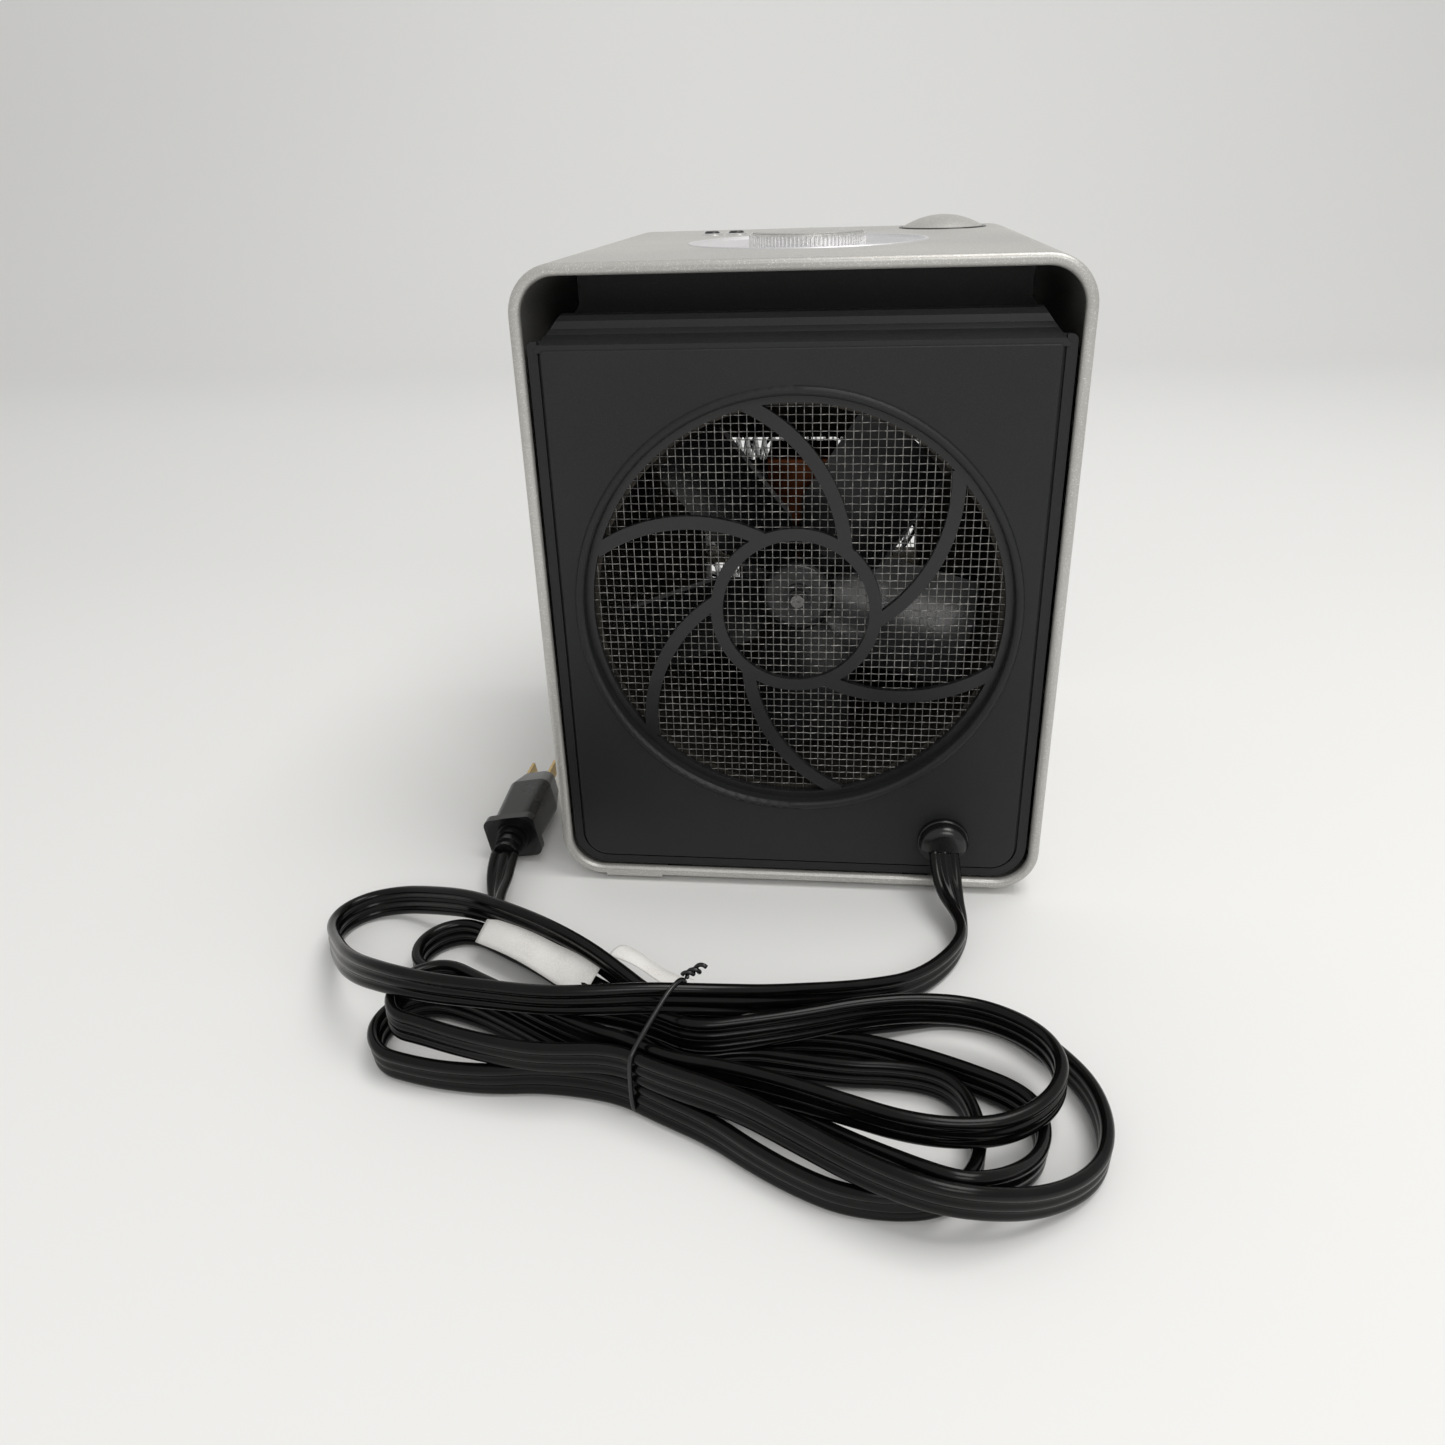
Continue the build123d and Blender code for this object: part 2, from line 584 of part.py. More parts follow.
def make_dial_cap():
    """Thin metal disc on the dial, in the sleeve's finish, with a pointer dimple."""
    radius = DIAL_R - 1.9
    cap = turned([(0, DIAL_TOP - 1.15), (radius, DIAL_TOP - 1.15), (radius, DIAL_TOP + 0.1),
                  (radius - 0.8, DIAL_TOP + 0.55), (0, DIAL_TOP + 0.75)], DIAL_AT)
    return cap - Pos(DIAL_AT[0], DIAL_AT[1] - radius + 5, DIAL_TOP + 2.1) * Sphere(2.2)


THERMO_LOW = PAN_LOW + 2.2


def make_dial_shaft():
    return post(SHAFT_R, THERMO_LOW + 1.2, DIAL_TOP - 3.1, *DIAL_AT)


def make_thermostat():
    """Rotary thermostat under the dish, with a bush for the dial's shaft."""
    x, y = DIAL_AT
    low = THERMO_LOW
    body = block((x - 15, x + 15), (y - 14, y + 14), (low, low + 9.0))
    body += post(5.5, low + 8.5, DISH_FLOOR - 1.9, x, y)
    body -= post(SHAFT_R + SHAFT_FIT, low + 0.8, DISH_FLOOR, x, y)
    for side in (-1, 1):
        tab = block((x + side * 9 - 3, x + side * 9 + 3), (y + 13.5, y + 22), (low + 3, low + 3.8))
        body += tab
    return body


def make_control_pan():
    """Moulded tray under the top that holds the board and the thermostat."""
    low, wall, half, front, back = PAN_LOW, 2.0, 94.0, FRONT + 6.8, 69.0
    body = block((-half, half), (front, back), (low, UNDER_TOP - 0.4))
    body -= block((wall - half, half - wall), (front + wall, back - wall), (low + wall, TOP_Z))
    for x, y in BOARD_POSTS:
        body += post(3.0, low + 1, BOARD_LOW, x, y) - post(1.2, low + 0.5, BOARD_LOW + 1, x, y)
    body -= post(3.0, low - 1, low + 3, 60, 55)
    return body


BOARD_LOW = PAN_LOW + 7.0
BOARD_TOP = BOARD_LOW + 1.6
BOARD_X, BOARD_Y = (-90.0, 66.0), (-106.0, -50.0)
BOARD_POSTS = [(-84.0, -56.0), (20.0, -56.0), (-10.0, -100.0), (60.0, -100.0)]


def make_control_board():
    body = block(BOARD_X, BOARD_Y, (BOARD_LOW, BOARD_TOP))
    for x, y in BOARD_POSTS:
        body -= post(1.4, BOARD_LOW - 1, BOARD_TOP + 1, x, y)
    return body


def make_board_screws():
    def screw(x, y):
        return post(1.2, BOARD_LOW - 5, BOARD_TOP, x, y) + post(2.4, BOARD_TOP, BOARD_TOP + 1.6, x, y)
    return group(screw(x, y) for x, y in BOARD_POSTS)


PRESS = 1.2               # travel of every push button
SWITCH_TOP = BOARD_TOP + 5.8
BUTTON_AT = [POWER_AT] + SMALL_AT


def make_tact_switches():
    def switch(x, y):
        can = block((x - 3, x + 3), (y - 3, y + 3), (BOARD_TOP, BOARD_TOP + 3.4))
        return can + post(1.7, BOARD_TOP + 3.3, SWITCH_TOP - PRESS - 0.4, x, y)
    return group(switch(x, y) for x, y in BUTTON_AT)


def make_power_ring():
    """Black seat that the domed power button rises from."""
    x, y = POWER_AT
    points = [(POWER_R + 0.35, TOP_Z - 4.0), (POWER_R + 1.4, TOP_Z - 4.0), (POWER_R + 1.4, TOP_Z),
              (POWER_R + 2.2, TOP_Z), (POWER_R + 1.9, TOP_Z + 0.5), (POWER_R + 0.35, TOP_Z + 0.5)]
    return turned(points, (x, y))


DOME_RISE = 6.4


def make_power_button():
    """Low domed button in the sleeve's finish."""
    x, y = POWER_AT
    edge = TOP_Z + 0.6
    ball = (POWER_R ** 2 + (DOME_RISE - 0.6) ** 2) / (2 * (DOME_RISE - 0.6))
    dome = Pos(x, y, edge + DOME_RISE - 0.6 - ball) * Sphere(ball)
    body = dome & post(POWER_R, edge, edge + DOME_RISE, x, y)
    body += post(POWER_R, TOP_Z - 2.4, edge, x, y)
    return body + post(2.0, SWITCH_TOP, TOP_Z - 2.0, x, y)


def make_small_ring(at):
    """Bright collar round a small button."""
    inner, outer = SMALL_R + 0.35, SMALL_R + 1.1
    points = [(inner, TOP_Z - 3.0), (outer, TOP_Z - 3.0), (outer, TOP_Z), (outer + 0.8, TOP_Z),
              (outer + 0.4, TOP_Z + 0.9), (inner, TOP_Z + 0.9)]
    return turned(points, at)


def make_small_button(at):
    head = post(SMALL_R, TOP_Z - 2.0, TOP_Z + 1.9, *at)
    head = fillet(head.edges().sort_by(Axis.Z)[-1], 1.2)
    return head + post(1.6, SWITCH_TOP, TOP_Z - 1.8, *at)


# ---------------------------------------------------------------- tip-over switch
TIP_AT = (76.0, -62.0)
TIP_LOW = FOOT + SHEET
TIP_PIVOT = TIP_LOW + 34.0


def make_tip_bracket():
    """Bracket on the case floor with two cheeks that hold the pendulum's pin."""
    x, y = TIP_AT
    body = block((x - 14, x + 14), (y - 9, y + 9), (TIP_LOW, TIP_LOW + 2))
    for side in (-1, 1):
        low, high = sorted((y + side * 7.0, y + side * 9.0))
        body += block((x - 8, x + 8), (low, high), (TIP_LOW + 1, TIP_PIVOT + 6))
    pin_hole = Pos(x, y, TIP_PIVOT) * (Rot(90, 0, 0) * Cylinder(1.5, 30))
    return body - pin_hole


def make_tip_pin():
    x, y = TIP_AT
    return Pos(x, y, TIP_PIVOT) * (Rot(90, 0, 0) * Cylinder(1.5, 20))


def make_tip_pendulum():
    x, y = TIP_AT
    arm = block((x - 3, x + 3), (y - 1.5, y + 1.5), (TIP_PIVOT - 22, TIP_PIVOT + 3))
    bob = Pos(x, y, TIP_PIVOT - 21) * (Rot(90, 0, 0) * Cylinder(8.0, 9.0))
    return arm + bob - Pos(x, y, TIP_PIVOT) * (Rot(90, 0, 0) * Cylinder(1.55, 12))


def make_tip_microswitch():
    x, y = TIP_AT
    return block((x - 10, x + 10), (y + 9.2, y + 15.5), (TIP_LOW, TIP_LOW + 12))


# ---------------------------------------------------------------- mains lead
# Middle of the two free stretches: from the bushing to the hank, and from the hank to the plug.
LEAD_ROUTE = [(-70, 125, 28), (-71, 133, 20), (-73, 141, 13), (-76, 150, 9), (-77, 160, 7.3),
              (-75, 171, 7.3), (-69, 183, 7.3), (-60, 194, 7.3), (-50, 203, 8.5), (-38, 211, 11.5),
              (-26, 218.5, 15)]
TAIL_ROUTE = [(134, 166, 7.3), (138, 157, 7.3), (141, 148, 8), (143, 139, 9.5), (144.5, 130, 12),
              (145, 121, 14)]
TIE_AT = (43.0, 257.0)
TIE_TURN = -27.0          # degrees, the tie lies slantwise across the hank
TIE_W, TIE_THICK = 2.6, 1.2
TIE_SPAN, TIE_HIGH = 42.0, 40.0
HANK_LEFT_HIGH, HANK_RIGHT_HIGH = 27.0, 34.0


def arc_radii(route):
    """0.45 of the shorter run at each corner, over the tangent of half its turn."""
    points = [Vector(*p) for p in route]
    radii = []
    for a, b, c in zip(points, points[1:], points[2:]):
        run = min((b - a).length, (c - b).length)
        half_turn = math.radians((b - a).get_angle(c - b)) / 2
        radii.append(0.45 * run / math.tan(half_turn))
    return radii


def lead_tube(name, route):
    radii = arc_radii(route)
    print(name, "bend radii", [round(r, 1) for r in radii])
    path = FilletPolyline(*route, radius=radii)
    start = Plane(origin=path @ 0, z_dir=path % 0)
    tube = sweep(start * Circle(CORD_R), path=path)
    print(name, "length", round(path.length, 1), "volume / (section x length)",
          round(tube.volume / (math.pi * CORD_R ** 2 * path.length), 4))
    return tube


def plan_solid(points, height):
    """Upright solid from a smooth closed outline in plan."""
    return extrude(make_face(Spline(*points, periodic=True)), height)


def tie_frame(shape):
    return Pos(*TIE_AT, 0) * (Rot(0, 0, TIE_TURN) * shape)


def make_cord_tie():
    """Twist tie round the hank's waist."""
    half, span = TIE_W / 2, TIE_SPAN / 2
    band = block((-half, half), (-span, span), (0, TIE_HIGH))
    inside = block((-half, half), (TIE_THICK - span, span - TIE_THICK), (TIE_THICK, TIE_HIGH - TIE_THICK))
    return tie_frame(band - inside)


def make_cord_hank():
    """The tied hank's outer shape: two fans of loops, drawn in to a thick waist by the tie."""
    left = [(60, 240), (84, 198), (120, 165), (158, 149), (191, 152), (207, 178), (202, 208),
            (186, 240), (166, 264), (132, 279), (94, 277), (68, 266)]
    right = [(24, 250), (0, 234), (-28, 220), (-62, 223), (-98, 231), (-122, 256), (-124, 284),
             (-110, 308), (-84, 320), (-50, 324), (-16, 314), (12, 294), (26, 272)]
    body = plan_solid(left, HANK_LEFT_HIGH) + plan_solid(right, HANK_RIGHT_HIGH)
    inner = TIE_SPAN / 2 - TIE_THICK
    waist = block((-26, 28), (-inner, inner), (TIE_THICK, TIE_HIGH - TIE_THICK))
    body += tie_frame(waist)
    around = block((-TIE_W / 2, TIE_W / 2), (-60, 60), (-1, 60))
    hole = block((-TIE_W / 2, TIE_W / 2), (-inner, inner), (TIE_THICK, TIE_HIGH - TIE_THICK))
    return body - tie_frame(around - hole)


PLUG_X, PLUG_Z = 145.0, 14.2
PLUG_ROLL = 10.0          # the plug lies slightly rolled, on one corner of its flange
PLUG_BACK = 107.0         # cord side of the flange
PLUG_STEP = 66.0          # where the body's sides start to slope in
PLUG_FACE = 52.0          # face that the blades stand out of


def rolled(shape):
    return Pos(PLUG_X, 0, PLUG_Z) * (Rot(0, PLUG_ROLL, 0) * shape)


def make_plug_body():
    """Moulded three-blade plug with a dished finger flange and a ringed neck."""
    flange = slab(RectangleRounded(27, 23, 4), PLUG_BACK - 5, PLUG_BACK, z=0)
    flange -= Pos(0, PLUG_BACK + 43, 0) * Sphere(45)
    wide = upright(PLUG_BACK - 4, z=0) * RectangleRounded(21, 20, 5)
    step = upright(PLUG_STEP, z=0) * RectangleRounded(23, 22.5, 5)
    narrow = upright(PLUG_FACE, z=0) * RectangleRounded(19, 17, 5)
    body = flange + loft([wide, step]) + loft([step, narrow])
    for k in range(3):
        low = PLUG_BACK - 3 + 4.8 * k
        body += disc(8.2 - 0.8 * k, low, low + 3.6, z=0)
    body += disc(5.4, PLUG_BACK - 3, PLUG_BACK + 14, z=0)
    return rolled(body)


def make_plug_prongs():
    """Two flat blades and a round earth pin, to the usual 15 A three-wire pattern."""
    blades = [slab(Rectangle(1.5, 6.3), PLUG_FACE - 16, PLUG_FACE, x=side * 6.35, z=3.5) for side in (-1, 1)]
    pin = disc(2.4, PLUG_FACE - 20, PLUG_FACE, x=0, z=-8.4)
    return group([rolled(shape) for shape in blades + [fillet(pin.edges().sort_by(Axis.Y)[0], 1.6)]])


def make_cord_labels():
    """Two blank paper flags that lie on the hank near the plug's end."""
    big = Rot(0, 0, -32) * block((-25, 25), (-10, 10), (0, 0.5))
    small = Rot(0, 0, -32) * block((-16, 16), (-9, 9), (0, 0.5))
    return group([Pos(118, 195, HANK_LEFT_HIGH) * big, Pos(81, 216, HANK_LEFT_HIGH) * small])


def make_strain_relief():
    """Snap-in bushing with a hood over the lead."""
    x, z = BUSH_AT
    head = disc(12.0, PLATEAU_FACE, PLATEAU_FACE + 3.0, x=x, z=z)
    head = fillet(head.faces().sort_by(Axis.Y)[-1].edges(), 1.2)
    hood = disc(11.4, PLATEAU_FACE + 2.5, PLATEAU_FACE + 9.5, x=x, z=z)
    hood = fillet(hood.faces().sort_by(Axis.Y)[-1].edges(), 5.0)
    hood -= block((x - 13, x + 13), (PLATEAU_FACE + 3, BACK + 12), (z - 14, z - 1.0))
    neck = disc(BUSH_HOLE_R, PANEL_BACK - 7, PLATEAU_FACE + 0.5, x=x, z=z)
    return head + hood + neck


# ---------------------------------------------------------------- write the nodes
NODES = {
    "sleeve": make_sleeve,
    "rubber_feet": make_feet,
    "rear_housing": make_rear_housing,
    "inlet_guard": make_inlet_guard,
    "inlet_mesh": make_inlet_mesh,
    "mesh_retainer": make_mesh_retainer,
    "front_housing": make_front_housing,
    "outlet_grille": make_outlet_grille,
    "base_screws": make_base_screws,
    "air_duct": make_air_duct,
    "motor_mount": make_motor_mount,
    "motor_stator": make_motor_stator,
    "motor_coil": make_motor_coil,
    "motor_bracket_rear": lambda: motor_bracket(STATOR_BACK, 1),
    "motor_bracket_front": lambda: motor_bracket(STATOR_FRONT, -1),
    "motor_bearings": make_motor_bearings,
    "motor_screws": make_motor_screws,
    "motor_rotor": make_motor_rotor,
    "motor_shaft": make_motor_shaft,
    "fan": make_fan,
    "fan_clip": make_fan_clip,
    "heater_baffle": make_heater_baffle,
    "heater_frame": make_heater_frame,
    "heater_fins": make_heater_fins,
    "ceramic_bars": make_ptc_bars,
    "heater_electrodes": make_electrodes,
    "outlet_duct": make_outlet_duct,
    "thermal_cutoff": make_thermal_cutoff,
    "thermal_fuse": make_thermal_fuse,
    "control_bezel": make_control_bezel,
    "thermostat_dial": make_thermostat_dial,
    "dial_cap": make_dial_cap,
    "dial_shaft": make_dial_shaft,
    "thermostat": make_thermostat,
    "control_pan": make_control_pan,
    "control_board": make_control_board,
    "board_screws": make_board_screws,
    "tact_switches": make_tact_switches,
    "power_ring": make_power_ring,
    "power_button": make_power_button,
    "high_heat_ring": lambda: make_small_ring(SMALL_AT[0]),
    "high_heat_button": lambda: make_small_button(SMALL_AT[0]),
    "low_heat_ring": lambda: make_small_ring(SMALL_AT[1]),
    "low_heat_button": lambda: make_small_button(SMALL_AT[1]),
    "tip_bracket": make_tip_bracket,
    "tip_pin": make_tip_pin,
    "tip_pendulum": make_tip_pendulum,
    "tip_microswitch": make_tip_microswitch,
    "strain_relief": make_strain_relief,
    "cord_lead": lambda: lead_tube("cord_lead", LEAD_ROUTE),
    "cord_hank": make_cord_hank,
    "cord_tie": make_cord_tie,
    "cord_labels": make_cord_labels,
    "cord_tail": lambda: lead_tube("cord_tail", TAIL_ROUTE),
    "plug_body": make_plug_body,
    "plug_prongs": make_plug_prongs,
}

os.makedirs("parts", exist_ok=True)
for node, make in NODES.items():
    export_step(make(), os.path.join("parts", node + ".step"))
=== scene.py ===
import math

import bpy
from mathutils import Matrix, Vector


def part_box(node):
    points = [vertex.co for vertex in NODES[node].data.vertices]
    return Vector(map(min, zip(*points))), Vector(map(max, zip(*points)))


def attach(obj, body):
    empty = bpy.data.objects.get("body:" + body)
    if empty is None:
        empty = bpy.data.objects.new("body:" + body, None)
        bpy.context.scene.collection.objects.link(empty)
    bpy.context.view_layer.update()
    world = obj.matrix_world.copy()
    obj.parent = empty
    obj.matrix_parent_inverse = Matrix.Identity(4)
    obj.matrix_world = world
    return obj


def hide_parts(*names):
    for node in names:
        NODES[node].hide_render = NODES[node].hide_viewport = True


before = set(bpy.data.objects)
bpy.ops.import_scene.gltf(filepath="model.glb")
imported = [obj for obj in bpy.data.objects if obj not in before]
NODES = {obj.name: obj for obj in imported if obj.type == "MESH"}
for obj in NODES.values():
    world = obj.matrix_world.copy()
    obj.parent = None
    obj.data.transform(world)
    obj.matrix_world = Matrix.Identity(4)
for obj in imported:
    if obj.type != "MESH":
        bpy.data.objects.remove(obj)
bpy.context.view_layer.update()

MM = 0.001


# ---------------------------------------------------------------- camera
# The photograph looks at the back of the heater from above, through a wide lens. These values come
# from fitting a camera to the edges of the case in it.
CAMERA_AT = Vector((-0.0254, 0.5838, 0.3172))
CAMERA_TURN = math.radians(7.225)
CAMERA_DOWN = math.radians(26.0)
CAMERA_ROLL = math.radians(-1.84)
LENS = 28.13


def make_camera():
    forward = Vector((math.sin(CAMERA_TURN) * math.cos(CAMERA_DOWN),
                      -math.cos(CAMERA_TURN) * math.cos(CAMERA_DOWN),
                      -math.sin(CAMERA_DOWN)))
    level = forward.cross(Vector((0, 0, 1))).normalized()
    over = level.cross(forward)
    right = math.cos(CAMERA_ROLL) * level + math.sin(CAMERA_ROLL) * over
    up = right.cross(forward)
    data = bpy.data.cameras.new("camera")
    data.lens = LENS
    data.sensor_width = 36.0
    data.clip_start = 0.01
    camera = bpy.data.objects.new("camera", data)
    turn = Matrix((right, up, -forward)).transposed().to_4x4()
    camera.matrix_world = Matrix.Translation(CAMERA_AT) @ turn
    bpy.context.collection.objects.link(camera)
    bpy.context.scene.camera = camera


make_camera()


# ---------------------------------------------------------------- mesh helpers
def new_piece(name, points, faces, material, smooth=True):
    mesh = bpy.data.meshes.new(name)
    mesh.from_pydata([tuple(p) for p in points], [], faces)
    mesh.update()
    mesh.validate()
    if smooth:
        mesh.shade_smooth()
    mesh.materials.append(material)
    piece = bpy.data.objects.new(name, mesh)
    bpy.context.collection.objects.link(piece)
    return piece


def ring_faces(first, rings, sides, closed=False):
    """Quads between rings of points, and fans at the two ends of an open tube."""
    faces = []
    for i in range(rings if closed else rings - 1):
        a = first + i * sides
        b = first + (i + 1) % rings * sides
        for j in range(sides):
            k = (j + 1) % sides
            faces.append((a + j, a + k, b + k, b + j))
    if not closed:
        last = first + (rings - 1) * sides
        faces.append(tuple(range(first + sides - 1, first - 1, -1)))
        faces.append(tuple(range(last, last + sides)))
    return faces


def directions(line, closed=False):
    """Unit direction of travel at each point of a line."""
    count = len(line)
    out = []
    for i in range(count):
        before = line[i - 1] if closed or i else line[0]
        after = line[(i + 1) % count] if closed else line[min(i + 1, count - 1)]
        out.append((after - before).normalized())
    return out


def add_tube(points, faces, line, radius, sides, closed=False):
    """Adds a round tube along a line to the lists of points and faces."""
    first = len(points)
    ways = directions(line, closed)
    side = ways[0].orthogonal().normalized()
    for at, way in zip(line, ways):
        side = (side - way * side.dot(way)).normalized()
        other = way.cross(side)
        for k in range(sides):
            angle = math.tau * k / sides
            points.append(at + radius * (math.cos(angle) * side + math.sin(angle) * other))
    faces += ring_faces(first, len(line), sides, closed)


# ---------------------------------------------------------------- material helpers
class Look:
    """A material with a principled shader, and short ways to add the nodes that feed it."""

    def __init__(self, name, metallic=0.0, roughness=0.5, specular=0.5, coat=0.0, coat_roughness=0.1):
        self.material = bpy.data.materials.new(name)
        self.material.use_nodes = True
        self.nodes = self.material.node_tree.nodes
        self.link = self.material.node_tree.links.new
        self.shader = self.nodes["Principled BSDF"]
        self.shader.inputs["Metallic"].default_value = metallic
        self.shader.inputs["Roughness"].default_value = roughness
        self.shader.inputs["Specular IOR Level"].default_value = specular
        self.shader.inputs["Coat Weight"].default_value = coat
        self.shader.inputs["Coat Roughness"].default_value = coat_roughness
        self.place = self.nodes.new("ShaderNodeTexCoord").outputs["Object"]
        self.relief = None

    def stretched(self, x, y, z):
        """Object coordinates with their own scale along each axis."""
        node = self.nodes.new("ShaderNodeMapping")
        node.inputs["Scale"].default_value = (x, y, z)
        self.link(self.place, node.inputs["Vector"])
        return node.outputs["Vector"]

    def noise(self, scale, detail=2.0, rough=0.5, place=None):
        node = self.nodes.new("ShaderNodeTexNoise")
        node.inputs["Scale"].default_value = scale
        node.inputs["Detail"].default_value = detail
        node.inputs["Roughness"].default_value = rough
        self.link(place or self.place, node.inputs["Vector"])
        return node.outputs["Fac"]

    def cells(self, scale, output="Color"):
        node = self.nodes.new("ShaderNodeTexVoronoi")
        node.inputs["Scale"].default_value = scale
        self.link(self.place, node.inputs["Vector"])
        return node.outputs[output]

    def between(self, factor, low, high, to_low=0.0, to_high=1.0):
        node = self.nodes.new("ShaderNodeMapRange")
        node.inputs["From Min"].default_value = low
        node.inputs["From Max"].default_value = high
        node.inputs["To Min"].default_value = to_low
        node.inputs["To Max"].default_value = to_high
        self.link(factor, node.inputs["Value"])
        return node.outputs["Result"]

    def mix(self, factor, first, second):
        """A mix of two colours; either may be a colour or a node's output."""
        node = self.nodes.new("ShaderNodeMix")
        node.data_type = "RGBA"
        self.link(factor, node.inputs["Factor"])
        for socket, value in ((node.inputs[6], first), (node.inputs[7], second)):
            if isinstance(value, tuple):
                socket.default_value = (*value, 1.0)
            else:
                self.link(value, socket)
        return node.outputs[2]

    def colour(self, output):
        self.link(output, self.shader.inputs["Base Color"])

    def rough(self, output):
        self.link(output, self.shader.inputs["Roughness"])

    def bump(self, height, depth):
        """Relief of the given depth in metres, on top of any relief added before."""
        node = self.nodes.new("ShaderNodeBump")
        node.inputs["Strength"].default_value = 1.0
        node.inputs["Distance"].default_value = depth
        self.link(height, node.inputs["Height"])
        if self.relief:
            self.link(self.relief, node.inputs["Normal"])
        self.relief = node.outputs["Normal"]
        self.link(self.relief, self.shader.inputs["Normal"])


def grained(name, dark, light, rough, spread=0.06, metallic=0.0, grain=1400.0, depth=0.03,
            patch=30.0, specular=0.5, coat=0.0):
    """Fine grain over slow patches. Both shift the colour, and the grain stands in relief (mm)."""
    look = Look(name, metallic=metallic, specular=specular, coat=coat)
    fine = look.noise(grain, 3.0)
    slow = look.noise(patch, 3.0)
    specks = look.between(fine, 0.3, 0.7)
    base = look.mix(look.between(slow, 0.35, 0.65), dark, light)
    look.colour(look.mix(specks, base, light))
    look.rough(look.between(slow, 0.3, 0.7, rough - spread, rough + spread))
    look.bump(fine, depth * MM)
    return look.material


# ---------------------------------------------------------------- materials
def make_sleeve_finish(name, deep, pale):
    """Satin powder coat: a pebbled skin about half a millimetre across, with fine bright flakes."""
    look = Look(name, metallic=0.55, specular=0.5)
    pebbles = look.noise(1500.0, 2.0)
    flakes = look.cells(3400.0, "Color")
    slow = look.noise(9.0, 2.0)
    body = look.mix(look.between(slow, 0.35, 0.65), deep, pale)
    look.colour(look.mix(look.between(flakes, 0.72, 0.95, 0.0, 0.6), body, (0.95, 0.94, 0.92)))
    look.rough(look.between(pebbles, 0.3, 0.7, 0.34, 0.46))
    look.bump(look.noise(420.0, 1.0), 0.02 * MM)
    look.bump(pebbles, 0.05 * MM)
    return look.material


def make_housing_plastic(name):
    """Moulded plastic with a fine spark-eroded grain."""
    look = Look(name, specular=0.34)
    grain = look.noise(2600.0, 2.0)
    specks = look.cells(900.0, "Distance")
    slow = look.noise(14.0, 3.0)
    base = look.mix(look.between(slow, 0.35, 0.65), (0.0105, 0.0108, 0.0115), (0.0135, 0.0138, 0.0147))
    look.colour(look.mix(look.between(grain, 0.55, 0.85), base, (0.030, 0.031, 0.032)))
    look.rough(look.between(specks, 0.0, 0.6, 0.36, 0.48))
    look.bump(grain, 0.035 * MM)
    return look.material


def make_cloth_steel(name):
    """Dark wire from the drawing die, with a fine grain and painted highlights as bright patches in its
    colour.
    """
    look = Look(name, metallic=0.9)
    wire_grain_and_highlights = look.noise(600.0, 2.0)
    slow = look.noise(60.0, 2.0)
    base = look.mix(look.between(slow, 0.35, 0.65), (0.10, 0.10, 0.10), (0.19, 0.187, 0.18))
    # Painted highlight: bright grey patches mixed into the wire's colour.
    look.colour(look.mix(look.between(wire_grain_and_highlights, 0.45, 0.75), base, (0.42, 0.41, 0.39)))
    look.rough(look.between(wire_grain_and_highlights, 0.3, 0.7, 0.28, 0.42))
    look.bump(wire_grain_and_highlights, 0.02 * MM)
    return look.material


def make_brushed(name, dark, light, rough, scales, depth=0.01):
    """Metal with fine lines along the axis whose scale is small."""
    look = Look(name, metallic=1.0)
    lines = look.noise(1.0, 3.0, 0.6, look.stretched(*scales))
    look.colour(look.mix(look.between(lines, 0.3, 0.7), dark, light))
    look.rough(look.between(lines, 0.3, 0.7, rough - 0.05, rough + 0.07))
    look.bump(lines, depth * MM)
    return look.material


def make_cord_skin(name):
    """Glossy vinyl, with faint orange peel and a few dull scuffs."""
    look = Look(name, specular=0.22)
    peel = look.noise(700.0, 2.0)
    scuffs = look.noise(55.0, 4.0, 0.7)
    base = look.mix(look.between(scuffs, 0.45, 0.7), (0.0022, 0.0020, 0.0019), (0.0040, 0.0036, 0.0034))
    look.colour(look.mix(look.between(peel, 0.6, 0.8), base, (0.0055, 0.0048, 0.0045)))
    look.rough(look.between(scuffs, 0.35, 0.75, 0.15, 0.28))
    look.bump(peel, 0.02 * MM)
    return look.material


def make_paper(name):
    """White label stock with a soft fibre and faint grey clouding."""
    look = Look(name, specular=0.3, roughness=0.7)
    fibre = look.noise(1200.0, 4.0, 0.7)
    cloud = look.noise(70.0, 2.0)
    base = look.mix(look.between(cloud, 0.35, 0.7), (0.80, 0.79, 0.76), (0.70, 0.68, 0.65))
    look.colour(look.mix(look.between(fibre, 0.4, 0.7), base, (0.86, 0.85, 0.83)))
    look.rough(look.between(fibre, 0.3, 0.7, 0.6, 0.8))
    look.bump(fibre, 0.04 * MM)
    return look.material


def make_studio(name):
    look = Look(name, specular=0.2, roughness=0.8)
    slow = look.noise(1.2, 2.0)
    look.colour(look.mix(slow, (0.80, 0.80, 0.795), (0.83, 0.83, 0.825)))
    return look.material


SLEEVE_FINISH = make_sleeve_finish("sleeve_finish", (0.44, 0.435, 0.415), (0.52, 0.51, 0.48))
BLACK_PLASTIC = make_housing_plastic("black_plastic")
GUARD_BLACK = grained("guard_black", (0.007, 0.007, 0.0075), (0.011, 0.011, 0.012), 0.36, grain=2400.0)
CLOTH_STEEL = make_cloth_steel("wire_cloth")
